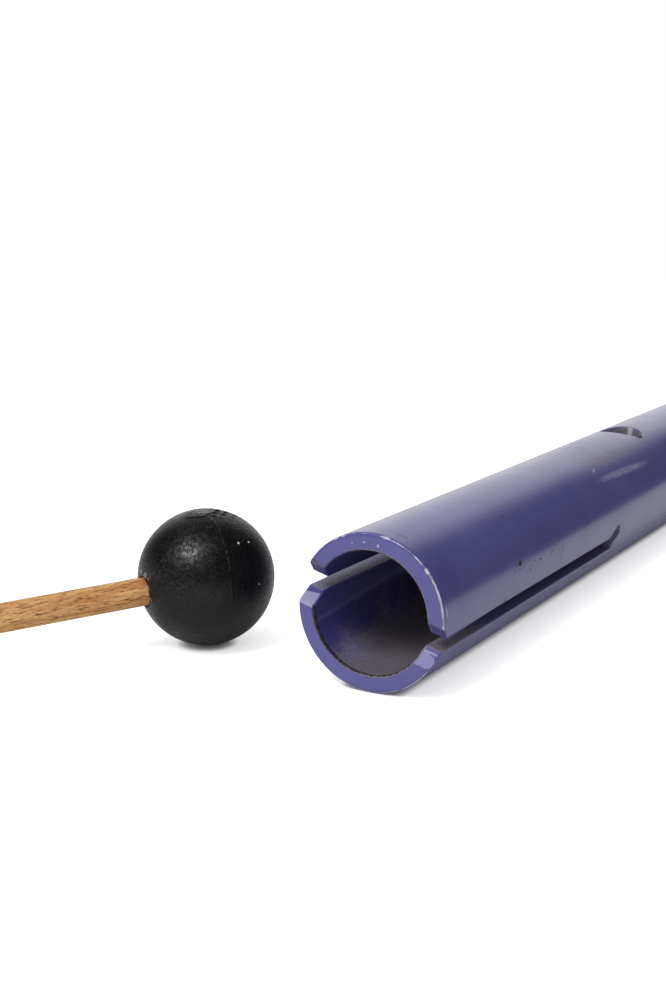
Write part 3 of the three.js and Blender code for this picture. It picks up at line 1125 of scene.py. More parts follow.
def stick_points():
    """The profile carried round the axis, with the swell of the radius."""
    outer_end = STICK_INNER_END - STICK_LENGTH
    end_in, end_out = quarter(STICK_END_ROUND, 7)
    end = np.stack([STICK_RADIUS - end_out, outer_end + end_in], -1)
    length = steps((outer_end + STICK_END_ROUND, STICK_INNER_END - STICK_BREAK, 160))[1:]
    side = np.stack([0 * length + STICK_RADIUS, length], -1)
    inner = [(STICK_RADIUS - STICK_BREAK, STICK_INNER_END), (0, STICK_INNER_END)]
    radius, along = np.concatenate([[(0, outer_end)], end, side, inner]).T[:, :, None]
    angle = np.linspace(0, 2 * np.pi, STICK_COLUMNS, endpoint=False)
    radius = radius * swell(along, angle)
    return in_mallet(radius * np.cos(angle), along + 0 * angle, radius * np.sin(angle) - BALL_BORE_DROP)


stick = make_piece("beech_stick", [(stick_points(), True, None)])
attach(stick, "mallet")
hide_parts("mallet_shaft")

# %% [markdown]
# Wear sits where hands, saw and mallet have been, so the materials need to know where they are on
# the piece. These groups turn a point into the piece's own terms: for the tube, the distance from
# the mouth, from the axis and round it, and once more rolled as the slot is; for the mallet, the
# distance along the stick from the ball's middle, and round it. They give millimetres and degrees.

# %% Where a point is


def mm_from(tree, origin):
    """The point's place in millimetres from an origin."""
    place = node(tree, "TexCoord", output=3)
    scaled = node(tree, "VectorMath", {0: place, 1: (1 / MM, 1 / MM, 1 / MM)}, operation="MULTIPLY")
    return node(tree, "VectorMath", {0: scaled, 1: tuple(origin)}, operation="SUBTRACT")


def length_of(tree, x, y):
    """How long two steps square to each other are together: the root of their squares' sum."""
    return calc(tree, "SQRT", plus(tree, times(tree, x, x), times(tree, y, y)))


def place_group(name, origin, across, along, up):
    """A group that gives a point's place along and round an axis, in millimetres and degrees."""
    outputs = dict.fromkeys(("Along", "Radius", "Turn", "Across", "Up"), 0.0)
    tree, _, out = new_group(name, {}, {**outputs, "Point": None})
    point = mm_from(tree, origin)
    x, y, z = (distance_along(tree, point, axis) for axis in (across, along, up))
    found = {
        "Along": y,
        "Radius": length_of(tree, x, z),
        "Turn": calc(tree, "DEGREES", calc(tree, "ARCTAN2", z, x)),
        "Across": x,
        "Up": z,
        "Point": node(tree, "CombineXYZ", {"X": x, "Y": y, "Z": z}),
    }
    for label, value in found.items():
        tree.links.new(value, out.inputs[label])
    return tree


tube_origin = (AXIS_X, MOUTH_Y, AXIS_Z)
slot_across = (np.cos(SLOT_ROLL), 0, -np.sin(SLOT_ROLL))
slot_up = (np.sin(SLOT_ROLL), 0, np.cos(SLOT_ROLL))
tube_place = place_group("tube_place", tube_origin, (1, 0, 0), (0, 1, 0), (0, 0, 1))
slot_place = place_group("slot_place", tube_origin, slot_across, (0, 1, 0), slot_up)
mallet_place = place_group("mallet_place", BALL_MIDDLE, SIDE_AXIS, STICK_AXIS, UP_AXIS)
print("place groups", [group.name for group in (tube_place, slot_place, mallet_place)])

# %% [markdown]
# A mark is a chip, a scratch, a scuff or a stain. All of them are one group: a rounded shape with
# a length, a width and a slant, whose distance is shaken by noise so that the edge is ragged.
# The squareness says how full its corners are: 2 gives an oval and 8 nearly a rectangle.

# %% Marks


def make_mark():
    """Mask of one mark: 1 inside, 0 outside, from the point's distance to its middle.
    Each side's share of the half size is raised to the squareness; the distance is the sum's root."""
    inputs = {"Along": 0.0, "Across": 0.0, "Half Length": 1.0, "Half Width": 1.0, "Slant": 0.0,
              "Squareness": 2.0, "Soft": 0.2, "Ragged": 0.3, "Grain": 1.5, "Point": None}
    tree, start, out = new_group("mark", inputs, {"Mask": 0.0})
    value = start.outputs
    angle = calc(tree, "RADIANS", value["Slant"])
    cosine = calc(tree, "COSINE", angle)
    sine = calc(tree, "SINE", angle)
    lengthways = plus(tree, times(tree, value["Along"], cosine), times(tree, value["Across"], sine))
    widthways = less(tree, times(tree, value["Across"], cosine), times(tree, value["Along"], sine))
    parts = []
    for side, half in ((lengthways, "Half Length"), (widthways, "Half Width")):
        share = calc(tree, "ABSOLUTE", calc(tree, "DIVIDE", side, value[half]))
        parts.append(calc(tree, "POWER", share, value["Squareness"]))
    root = calc(tree, "DIVIDE", 1.0, value["Squareness"])
    distance = calc(tree, "POWER", plus(tree, *parts), root)
    shake = less(tree, noise(tree, value["Point"], value["Grain"], 3.0), 0.5)
    shaken = plus(tree, distance, times(tree, times(tree, shake, 2.0), value["Ragged"]))
    outside = ease(tree, shaken, less(tree, 1.0, value["Soft"]), plus(tree, 1.0, value["Soft"]))
    tree.links.new(no(tree, outside), out.inputs["Mask"])
    return tree


mark_group = make_mark()


def mark(tree, point, along, across, length, width, **fields):
    """One mark, from how far along and across its middle is. The fields are the group's inputs."""
    inputs = {"Along": along, "Across": across, "Half Length": length / 2, "Half Width": width / 2}
    inputs.update({name.title(): value for name, value in fields.items()})
    return use_group(tree, mark_group, {**inputs, "Point": point})


print("mark group has", len(mark_group.nodes), "nodes")

# %% [markdown]
# Three more groups serve every finish. Clouds are the slow unevenness of any surface. Specks are
# small scattered dots: dust, pits and spray. Skin is the fine dimpling of sprayed paint and of
# moulded rubber, like an orange's peel, as a height for the bump.

# %% Clouds, specks and skin


def make_clouds():
    """Soft blotches from -1 to 1, with a size in millimetres."""
    tree, start, out = new_group("clouds", {"Point": None, "Size": 10.0}, {"Value": 0.0})
    scale = calc(tree, "DIVIDE", 1.0, start.outputs["Size"])
    spread = line(tree, noise(tree, start.outputs["Point"], scale, 3.0, 0.55), 4.0, -2.0)
    held = calc(tree, "MAXIMUM", calc(tree, "MINIMUM", spread, 1.0), -1.0)
    tree.links.new(held, out.inputs["Value"])
    return tree


def make_specks():
    """Round dots on a random lattice: each cell has a dot when its random number is small enough."""
    inputs = {"Point": None, "Spacing": 1.0, "Share": 0.2, "Width": 0.3}
    tree, start, out = new_group("specks", inputs, {"Mask": 0.0})
    value = start.outputs
    scale = calc(tree, "DIVIDE", 1.0, value["Spacing"])
    cells = node(tree, "TexVoronoi", {"Vector": value["Point"], "Scale": scale}).node.outputs
    chance = node(tree, "SeparateColor", {0: cells["Color"]})
    there = calc(tree, "LESS_THAN", chance, value["Share"])
    reach = times(tree, value["Width"], calc(tree, "DIVIDE", chance, value["Share"]))
    dot = ease(tree, less(tree, reach, cells["Distance"]), -0.02, 0.06)
    tree.links.new(both(tree, there, dot), out.inputs["Mask"])
    return tree


def make_skin():
    """Height of a dimpled skin: broad dimples with a finer grain on them."""
    tree, start, out = new_group("skin", {"Point": None, "Size": 1.0, "Fine": 0.3}, {"Height": 0.0})
    scale = calc(tree, "DIVIDE", 1.0, start.outputs["Size"])
    broad = noise(tree, start.outputs["Point"], scale, 1.0)
    fine = noise(tree, start.outputs["Point"], times(tree, scale, 4.3))
    tree.links.new(line(tree, fine, start.outputs["Fine"], broad), out.inputs["Height"])
    return tree


clouds_group = make_clouds()
specks_group = make_specks()
skin_group = make_skin()


def clouds(tree, point, size):
    """Clouds of a size in millimetres."""
    return use_group(tree, clouds_group, {"Point": point, "Size": size})


def specks(tree, point, spacing, share, width):
    """Specks: the spacing in millimetres, the share of cells that have one, the width in cells."""
    inputs = {"Point": point, "Spacing": spacing, "Share": share, "Width": width}
    return use_group(tree, specks_group, inputs)


def skin(tree, point, size, fine):
    """Skin with dimples of a size in millimetres, and the share of the finer grain."""
    return use_group(tree, skin_group, {"Point": point, "Size": size, "Fine": fine})


print("shared groups", clouds_group.name, specks_group.name, skin_group.name)

# %% [markdown]
# The last helpers are small patterns that several finishes share: thin wandering lines, blots,
# two colours mottled into one another, a length of arc and a bump.

# %% Helpers for materials


def from_lines(tree, vector, scale):
    """How far a noise is from its middle value, so it is 0 along thin lines that wander."""
    return calc(tree, "ABSOLUTE", less(tree, noise(tree, vector, scale), 0.5))


def blots(tree, point, scale, low, high, detail=3.0, roughness=0.5):
    """Mask of the places where a noise is high."""
    return ease(tree, noise(tree, point, scale, detail, roughness), low, high)


def mottled(tree, point, scale, first, second, detail=3.0, roughness=0.5):
    """Two colours that a noise blends into one another."""
    return mix(tree, noise(tree, point, scale, detail, roughness), first, second)


def arc_from(tree, turn, start, radius):
    """The length of arc from a starting angle, in millimetres, the short way round a circle."""
    degrees = calc(tree, "WRAP", less(tree, turn, start), 180.0, -180.0)
    return times(tree, degrees, np.radians(1) * radius)


def bump(tree, height, distance, normal=None):
    """A bump whose height of 1 stands for a distance in millimetres."""
    inputs = {"Height": height, "Distance": distance * MM, "Strength": 1.0}
    inputs.update({"Normal": normal} if normal else {})
    return node(tree, "Bump", inputs)


def add_masks(tree, where, masks):
    """Works out masks, each a name and a function of the places, and adds them to the places."""
    for name, make in masks.items():
        setattr(where, name, make(tree, where))
    return where


def new_material(name):
    """A material with one Principled shader: the material, its tree and the shader's sockets."""
    material = bpy.data.materials.new(name)
    material.use_nodes = True
    tree = material.node_tree
    return material, tree, tree.nodes["Principled BSDF"].inputs


print("one degree round the tube is", round(np.radians(1) * TUBE_RADIUS, 3), "mm")

# %% [markdown]
# The tube was sprayed violet after the sawing, and not much of the spray got into the bore. So
# the finish is layers, from the metal up: dark mill scale in the bore, a dusting of violet over
# it near the mouth, full paint outside, and on top of that what years of playing did to it.
# First come the places: what is bore, slot face, filed flat, drilled wall or rim. The radius is
# shaken a little there, so that no border between two finishes is a clean line.

# %% The tube's regions
SHAKE = 0.16
SHAKE_SIZE = 1.4
FACET_LEAN = 0.22
FACET_LEAN_RADIUS = 18.6


def on_skin(tree, where, s, turn, radius=TUBE_RADIUS):
    """Distances in millimetres from a place on the tube: along it and round it."""
    return less(tree, where.s, s), arc_from(tree, where.turn, turn, radius)


def on_side(tree, where, sign):
    """Mask of the tube's right side, or of its left one for a sign of -1."""
    return ease(tree, times(tree, where.side, sign), -0.5, 0.5)


def filed_plane(tree, where, corner):
    """How far a filed flat is from the slot's plane, at each distance from the mouth."""
    (_, reach), (depth, rest) = CORNERS[corner][:2]
    return line(tree, where.s, (rest - reach) / depth, SLOT_HALF + reach)


def lower_flats(tree, where):
    """Mask of the lower prong's filed flats. Their far edge leans along the tube on its way out."""
    flats = []
    for corner, sign in (("left_lower", -1), ("right_lower", 1)):
        below = less(tree, filed_plane(tree, where, corner), where.height)
        uneven = line(tree, where.shake, 0.4, below)
        leaning = line(tree, where.radius, FACET_LEAN, line(tree, where.shake, 0.5, where.s))
        edge = CORNERS[corner][1][0] + FACET_LEAN * FACET_LEAN_RADIUS
        before_edge = ease(tree, leaning, edge + 0.1, edge - 0.15)
        flats.append(both(tree, ease(tree, uneven, -0.25, -0.09), before_edge,
                          ease(tree, where.level, 0.5, -0.5), on_side(tree, where, sign)))
    return either(tree, *flats)


def upper_flats(tree, where):
    """Mask of the upper prong's filed flats, which face down; the paint's colour darkens them as painted
    shade.
    """
    flats = []
    for corner, sign in (("left_upper", -1), ("right_upper", 1)):
        off_plane = calc(tree, "ABSOLUTE", less(tree, where.height, filed_plane(tree, where, corner)))
        on_flat = band(tree, where.s, 0.2, CORNERS[corner][1][0], 0.12)
        flats.append(both(tree, ease(tree, off_plane, 0.35, 0.15), on_flat,
                          on_side(tree, where, sign), ease(tree, where.level, 0, 0.5)))
    return either(tree, *flats)


def drilled_wall(tree, where):
    """Mask of the thumb hole's wall."""
    near = ease(tree, length_of(tree, *on_skin(tree, where, HOLE_FROM_MOUTH, HOLE_TURN)),
                HOLE_RADIUS + 2, HOLE_RADIUS + 1)
    return both(tree, near, ease(tree, where.uneven, TUBE_RADIUS - 0.05, TUBE_RADIUS - 0.3))


def notch_cut(tree, where):
    """Mask of the run-out notch's floor and sides."""
    near = band(tree, where.s, SLOT_LENGTH, SLOT_LENGTH + NOTCH_REACH + 1, 0.3)
    return both(tree, near, ease(tree, where.side, 0, 1),
                ease(tree, where.uneven, TUBE_RADIUS - 0.1, TUBE_RADIUS - 0.5))


def tube_places(tree):
    """Where a point of the tube is: from the mouth, from the axis, round it and from the slot."""
    here = group_outputs(tree, tube_place)
    rolled = group_outputs(tree, slot_place)
    shake = times(tree, clouds(tree, here.point, SHAKE_SIZE), SHAKE)
    return SimpleNamespace(
        s=here.along,
        radius=here.radius,
        turn=here.turn,
        point=here.point,
        side=rolled.across,
        level=rolled.up,
        height=calc(tree, "ABSOLUTE", rolled.up),
        shake=shake,
        uneven=plus(tree, here.radius, shake),
    )


def tube_regions(tree):
    """The places above, and masks by name for the parts of the tube that differ in finish."""
    where = tube_places(tree)
    s, radius = where.s, where.radius
    where.bore = both(tree, ease(tree, where.uneven, BORE_RADIUS + 0.75, BORE_RADIUS + 0.25),
                      ease(tree, s, TUBE_LENGTH - 2.5, TUBE_LENGTH - 3.5))
    where.slot = both(tree, ease(tree, where.height, SLOT_HALF + 0.3, SLOT_HALF + 0.12),
                      ease(tree, s, SLOT_LENGTH + 0.2, SLOT_LENGTH - 0.2))
    where.outside = ease(tree, radius, TUBE_RADIUS - 0.5, TUBE_RADIUS - 0.2)
    where.face = ease(tree, s, 0.3, 0.08)
    where.far_face = ease(tree, s, TUBE_LENGTH - 0.7, TUBE_LENGTH - 0.4)
    cuts = {"lower_flats": lower_flats, "upper_flats": upper_flats, "drilled": drilled_wall}
    add_masks(tree, where, cuts)
    where.cut = either(tree, where.drilled, notch_cut(tree, where))
    inside = less(tree, radius, TUBE_RADIUS)
    where.from_rim = plus(tree, s, inside)
    where.from_far_rim = plus(tree, less(tree, TUBE_LENGTH, s), inside)
    return where


print("a filed flat's edge leans", FACET_LEAN, "mm for each mm through the wall")

# %% [markdown]
# The outer rim of the mouth takes the knocks. Its paint is worn through to pale metal in dashes:
# the larger ones have places of their own, and short ones, on the far rim too, lie wherever a
# noise is high. Some of the named dashes and a thin pale line along the very edge are painted
# highlights, where the rounded rim catches the light. A place on the rim is an angle round the
# mouth, 0 at the right and 90 on top.

# %% Wear of the rim
# upper left, more left, bottom, bottom left and more bottom are painted highlights of the rounded rim; the
# others are wear
RIM_DASHES = {
    "top blob": (77.5, 2.2, 0.9),
    "top dash": (67, 3.2, 0.4),
    "middle dash": (49.5, 3.2, 0.55),
    "right blob": (39.3, 1.7, 1.1),
    "right dash": (17, 14.0, 0.75),
    "right end": (-3.5, 2.4, 0.8),
    "upper left": (112, 1.3, 0.6),
    "more left": (118, 1.8, 0.6),
    "bottom": (-74, 6.0, 0.35),
    "bottom left": (-96, 2.0, 0.35),
    "more bottom": (-103, 1.2, 0.4),
    "lower right": (-51, 10.0, 0.45),
}
RIM_RADIUS = TUBE_RADIUS - RIM_ROUND / 2
RIM_FLECK = (2.1, 8.4, 0.5, 2.8)
THIN_EDGE_HIGHLIGHT = 0.4
FLECK_WEAR = 0.7
SPECK_WEAR = 0.6


def skin_mark(tree, where, s, turn, length, width, radius=TUBE_RADIUS, **fields):
    """A mark on the tube round a place, s from the mouth and turn round the axis."""
    along, across = on_skin(tree, where, s, turn, radius)
    return mark(tree, where.point, along, across, length, width, **fields)


def named_dashes(tree, where):
    """Mask of the dashes of RIM_DASHES, each an angle, a length and a width, patchy inside."""
    masks = []
    for turn, length, width in RIM_DASHES.values():
        across = arc_from(tree, where.turn, turn, RIM_RADIUS)
        masks.append(mark(tree, where.point, where.from_rim, across, width, length,
                          squareness=3.0, soft=0.35, ragged=0.55, grain=1.1))
    patchy = line(tree, blots(tree, where.point, 1.2, 0.3, 0.55, 2.0), 0.5, 0.5)
    return both(tree, either(tree, *masks), patchy)


def short_dashes(tree, where):
    """Mask of the short dashes on both rims, and of a thinner pale line along the very edge, a painted
    highlight of its rounding.
    """
    grain = noise(tree, where.point, 0.55, 3.0, 0.6)
    edge = calc(tree, "MINIMUM", where.from_rim, where.from_far_rim)
    short = both(tree, band(tree, edge, -0.22, 0.24, 0.14), ease(tree, grain, 0.585, 0.66))
    thin = both(tree, band(tree, edge, -0.08, 0.16, 0.1), ease(tree, grain, 0.38, 0.56))
    return either(tree, short, times(tree, thin, THIN_EDGE_HIGHLIGHT))


def rim_wear(tree, where):
    """Mask of the pale wear along the rims, with painted highlights among it, and of one fleck behind the
    mouth's.
    """
    fleck = times(tree, skin_mark(tree, where, *RIM_FLECK, soft=0.4, ragged=0.5), FLECK_WEAR)
    worn = either(tree, named_dashes(tree, where), short_dashes(tree, where), fleck)
    filed = either(tree, where.lower_flats, where.upper_flats, where.slot)
    on_rim = ease(tree, where.radius, TUBE_RADIUS - 2, TUBE_RADIUS - 1.6)
    return both(tree, worn, on_rim, no(tree, filed))


print(len(RIM_DASHES), "named dashes")

# %% [markdown]
# Dark chips go down to the metal, and soft dark smudges lie behind the rim. Fine dark arcs come
# from the tube rolling over grit, and pale hairlines from being held and laid down. Each chip,
# smudge and arc has a place, along the tube and round it, and a size; an arc has a slant too.

# %% Chips, smudges and scratches
CHIPS = {
    "largest": (48.9, 13.6, 2.5, 1.5),
    "upper": (52.5, 51.0, 0.9, 0.7),
    "low": (63.4, 7.9, 1.1, 0.5),
    "beside": (46.0, 13.0, 1.1, 0.45),
    "lower": (59.0, 9.0, 0.8, 0.4),
    "edge": (38.0, -8.0, 1.0, 0.7),
    "by the hole": (186.5, 67.2, 5.0, 2.6),
}
CHIP_CLUSTER = (53, 10.6, 26.0, 5.0)
SMUDGES = {"near rim": (4.8, 73.3, 2.2, 1.6), "near rim too": (5.4, 69.3, 1.8, 1.3)}
ARCS = {"first": (73.6, 10.6, 6.5, 28), "second": (70.0, 14.9, 4.5, 8), "third": (79.4, 3.5, 5.0, 70)}
ARC_WIDTH = 0.3
ARC_BEND = -0.04


def chips(tree, where):
    """Mask of the dark chips outside: the named ones, a cluster of small ones and a few more."""
    masks = [skin_mark(tree, where, *size, soft=0.25, ragged=0.6, grain=1.6) for size in CHIPS.values()]
    area = skin_mark(tree, where, *CHIP_CLUSTER, soft=0.3, ragged=0.3, grain=0.4)
    cluster = both(tree, area, specks(tree, where.point, 1.2, 0.3, 0.3))
    few = specks(tree, where.point, 3.4, 0.14, 0.1)
    return both(tree, either(tree, *masks, cluster, few), where.outside)


def smudges(tree, where):
    """Mask of the soft dark smudges behind the rim."""
    masks = [skin_mark(tree, where, *size, soft=0.7, ragged=0.9, grain=1.1) for size in SMUDGES.values()]
    return both(tree, either(tree, *masks), where.outside)


def arcs(tree, where):
    """Mask of thin dark arcs: long marks on a line that bends with the square of the distance."""
    masks = []
    for s, turn, length, slant in ARCS.values():
        along, across = on_skin(tree, where, s, turn)
        bent = line(tree, times(tree, along, along), ARC_BEND, across)
        masks.append(mark(tree, where.point, along, bent, length, ARC_WIDTH, slant=slant,
                          soft=0.5, ragged=0.5, grain=0.6))
    return both(tree, either(tree, *masks), where.outside)


def hairlines(tree, where):
    """Mask of fine scratches along the tube, at its left and far sides, where it lies and is held.
    They are the middle lines of a noise that has been stretched along the tube."""
    drawn = node(tree, "VectorMath", {0: where.point, 1: (0.4, 0.006, 0.4)}, operation="MULTIPLY")
    fine = ease(tree, from_lines(tree, drawn, 1.0), 0.006, 0.002)
    some = blots(tree, where.point, 0.045, 0.5, 0.6, 2.0)
    from_right = calc(tree, "ABSOLUTE", where.turn)
    held = either(tree, ease(tree, where.s, 225, 260), ease(tree, from_right, 112, 125))
    return both(tree, fine, some, held, where.outside)


print(len(CHIPS), "chips,", len(ARCS), "arcs")

# %% [markdown]
# A grey patch on top, before the thumb hole, is where the colour was rubbed away, and a broken
# pale scuff runs beside it. The hole's far wall has a bright strip of painted highlight, where the wall's
# gloss reflects the light.
# The far end is outside the photograph: it gets what standing on it would leave, rubbed places on
# the flat and dirt in the ring round the disc.

# %% Rubbed places
PATCH_MAIN = (149, 60.5, 46.0, 5.4)
PATCH_CORNER = (134, 69, 17.0, 7.6)
PATCH_FAINT = (153, 79, 58.0, 17.0)
PATCH_FAINT_SHARE = 0.75
SCUFF_PLACE = (148, 41)
SCUFF_SIZE = (40.0, 2.4)
SMEAR = (128, 53.5, 3.2, 1.0)
SMEAR_SHARE = 0.8


def rubbed_patch(tree, where):
    """Mask of the rubbed grey patch: a slanted main part, a corner that reaches up, and a broad
    faint part over the top, up to the thumb hole."""
    main = skin_mark(tree, where, *PATCH_MAIN, slant=-1.0, squareness=2.5, soft=0.9, ragged=0.5, grain=0.12)
    corner = skin_mark(tree, where, *PATCH_CORNER, slant=-12.0, squareness=3.0, soft=0.8, ragged=0.5,
                       grain=0.14)
    faint = skin_mark(tree, where, *PATCH_FAINT, slant=-2.0, squareness=2.5, soft=0.95, ragged=0.25,
                      grain=0.08)
    broken = line(tree, blots(tree, where.point, 0.09, 0.3, 0.7, 2.0), 0.35, 0.65)
    whole = either(tree, main, corner, times(tree, faint, PATCH_FAINT_SHARE))
    return both(tree, whole, broken, where.outside)


def scuff(tree, where):
    """Mask of the broken pale scuff: a narrow strip of rubbed lines that lie along the tube."""
    along, across = on_skin(tree, where, *SCUFF_PLACE)
    strip = mark(tree, where.point, along, across, *SCUFF_SIZE, slant=-1.6, squareness=2.5, soft=0.45,
                 ragged=0.25, grain=0.12)
    drawn = node(tree, "CombineXYZ", {"X": times(tree, along, 0.12), "Y": times(tree, across, 1.6)})
    dabs = line(tree, blots(tree, drawn, 1.0, 0.34, 0.66, 4.0, 0.7), 0.7, 0.3)
    smear = times(tree, skin_mark(tree, where, *SMEAR, slant=20, soft=0.4, ragged=0.4), SMEAR_SHARE)
    return both(tree, either(tree, both(tree, strip, dabs), smear), where.outside)


def painted_hole_highlight(tree, where):
    """Mask of the bright strip down the thumb hole's far wall: a painted highlight, where the wall's gloss
    reflects the light.
    """
    strip = band(tree, where.turn, 81.5, 86.5, 2.0)
    return both(tree, where.drilled, strip, ease(tree, where.s, 187, 189))


def stood_on(tree, where):
    """Mask of the rubbed places of the far end, which it stood on."""
    return both(tree, where.far_face, blots(tree, where.point, 0.3, 0.5, 0.62, 5.0, 0.7))


def ring_dirt(tree, where):
    """Mask of the dirt in the ring round the disc: its width follows a noise."""
    width = line(tree, noise(tree, where.point, 0.7, 4.0, 0.7), 1.1, -0.1)
    from_ring = calc(tree, "ABSOLUTE", less(tree, where.radius, SEAT_RADIUS - 0.1))
    return both(tree, ease(tree, less(tree, width, from_ring), -0.12, 0.16),
                ease(tree, where.s, TUBE_LENGTH - 1.4, TUBE_LENGTH - 0.9))


print("the grey patch is", PATCH_MAIN[2], "mm long")

# %% [markdown]
# The end face is flat and fully painted, with a few pale specks, a bare scuffed corner at the
# upper left and a dark, crumbling line of rust along the bore's edge, where water stood.

# %% Marks of the mouth
FACE_SPECKS = {"first": (18.5, 94.7, 0.6), "second": (18.1, 82.2, 0.72), "third": (18.5, 105.6, 0.4)}
CORNER_RADIUS = 19.7
CORNER_TURN = 147
CORNER_SIZE = (3.8, 3.6)


def face_specks(tree, where):
    """Mask of the pale specks on the end face, each a radius, an angle and a size."""
    masks = []
    for radius, turn, size in FACE_SPECKS.values():
        out = less(tree, where.radius, radius)
        across = arc_from(tree, where.turn, turn, radius)
        masks.append(mark(tree, where.point, out, across, size, size, soft=0.35, ragged=0.3))
    return both(tree, either(tree, *masks), where.face)


def rust(tree, where):
    """Mask of the rust along the bore's edge: its width follows a noise, and is most at the left."""
    leftness = both(tree, ease(tree, where.side, 3, -14), ease(tree, where.level, 4, -2))
    blotch = line(tree, noise(tree, where.point, 0.8, 4.0, 0.7), 1.9, -0.76)
    width = line(tree, leftness, 0.35, blotch)
    out = less(tree, where.radius, BORE_RADIUS)
    return both(tree, ease(tree, less(tree, width, out), -0.14, 0.14), ease(tree, where.s, 1.3, 0.5))


def bare_corner(tree, where):
    """Mask of the scuffed bare corner at the upper left of the end face."""
    out = less(tree, where.radius, CORNER_RADIUS)
    across = arc_from(tree, where.turn, CORNER_TURN, 20)
    bare = mark(tree, where.point, out, across, *CORNER_SIZE, soft=0.5, ragged=0.9, grain=0.9)
    return both(tree, bare, ease(tree, where.s, 1.6, 0.9))


print(len(FACE_SPECKS), "specks on the end face")

# %% [markdown]
# The spray only partly reached the bore and the slot. In the bore dark scale shows under a violet
# dusting, full at the left and gone at the right and darker towards the top as painted shade, and
# a pale streak along the weld seam is a painted reflection. The slot's sawn faces are metal under
# a thin dusting, with dark pits and pale dots; the upper ones are painted, and darkened as painted shade.

# %% Colours of the bore and the slot
PAINT = rgb(90, 87, 150)
PAINT_DEEP = rgb(80, 76, 142)
SCALE_DARK = rgb(100, 94, 102)
SCALE_BROWN = rgb(138, 130, 140)
RUST_DARK = rgb(38, 32, 38)
NAVY = rgb(70, 67, 136)
NAVY_SHADED_UPPER = rgb(62, 59, 120)
MIST = (8.0, -123, 10.0, 7.5)
MIST_DOTS = rgb(154, 149, 204)
WELD_TURN = -170
WELD_REFLECTION_PALE = rgb(132, 130, 172)
SAWN_DARK = rgb(116, 108, 122)
SAWN_PALE = rgb(134, 128, 140)
SAWN_FAR = rgb(84, 80, 128)
DUSTED_DARK = rgb(118, 117, 142)
DUSTED_PALE = rgb(144, 142, 168)
SHADED_PAINT = rgb(66, 63, 118)
PIT_DARK = rgb(52, 50, 66)
SLOT_DOTS = rgb(196, 194, 208)


def sprayed_inside(tree, where):
    """Mask of the spray in the bore: less to the right and further in, and broken by a noise."""
    leftness = line(tree, where.side, -0.05, -0.22)
    nearness = times(tree, where.s, -0.002)
    slow = times(tree, clouds(tree, where.point, 6.0), 0.16)
    cover = plus(tree, plus(tree, leftness, nearness), slow)
    spray = line(tree, noise(tree, where.point, 2.2, 3.0, 0.7), 1.6, -0.8)
    return ease(tree, less(tree, cover, spray), 0.02, 0.3)


def weld_streak_reflection(tree, where):
    """Mask of a pale streak along the bore's weld seam, a painted reflection: a band that wanders off its
    line further in.
    """
    from_weld = arc_from(tree, where.turn, WELD_TURN, BORE_RADIUS)
    wander = line(tree, where.s, 0.055, less(tree, from_weld, 1.45))
    return both(tree, band(tree, wander, -0.35, 0.35, 0.75), ease(tree, where.s, 95, 30))


def bore_colour(tree, where):
    """Scale with rust specks, violet spray over it that is darker towards the top as painted shade, a paler
    mist at the lower left, and a painted reflection along the weld seam.
    """
    point = where.point
    scale = mottled(tree, point, 0.22, SCALE_DARK, SCALE_BROWN, 4.0, 0.6)
    # darker navy towards the top of the bore: painted shade
    navy = mix(tree, ease(tree, where.level, -7, 3), NAVY, NAVY_SHADED_UPPER)
    mist = skin_mark(tree, where, *MIST, radius=BORE_RADIUS, soft=0.8, ragged=0.6, grain=0.3)
    dots = both(tree, mist, blots(tree, point, 2.0, 0.47, 0.57, 3.0, 0.7))
    return layered(tree, scale, [
        (specks(tree, point, 0.8, 0.25, 0.3), 1, RUST_DARK),
        (sprayed_inside(tree, where), 1, navy),
        (mist, 0.15, PAINT),
        (dots, 0.7, MIST_DOTS),
        # pale streak along the weld seam: painted reflection
        (weld_streak_reflection(tree, where), 0.55, WELD_REFLECTION_PALE),
    ])


def slot_colour(tree, where):
    """The sawn faces that face up, right and left of the bore, and those that face down, whose paint is
    darkened as painted shade.
    """
    point = where.point
    dusting = noise(tree, point, 1.3, 3.0, 0.65)
    right = mix(tree, ease(tree, dusting, 0.4, 0.6), SAWN_DARK, SAWN_PALE)
    right = mix(tree, ease(tree, where.s, 14, 34), right, SAWN_FAR)
    left = mix(tree, ease(tree, dusting, 0.4, 0.62), DUSTED_DARK, DUSTED_PALE)
    facing_up = mix(tree, ease(tree, where.side, 2, -2), right, left)
    # faces that face down in a deeper, shaded violet: painted shade
    facing_down = mix(tree, dusting, PAINT_DEEP, SHADED_PAINT)
    dots = both(tree, specks(tree, point, 0.9, 0.25, 0.24), ease(tree, where.level, 0.5, -0.5))
    return layered(tree, facing_up, [
        (ease(tree, where.level, -0.5, 0.5), 1, facing_down),
        (specks(tree, point, 0.6, 0.28, 0.3), 1, PIT_DARK),
        (dots, 1, SLOT_DOTS),
    ])


print("paint", [round(c, 3) for c in PAINT[:3]])

# %% [markdown]
# Now the paint itself. Each layer mixes over the one below by its mask, from the clean paint up
# to the dust that lies on everything. A layer is a mask, a strength and a colour.

# %% The paint's colour
PAINT_PALE = rgb(97, 95, 157)
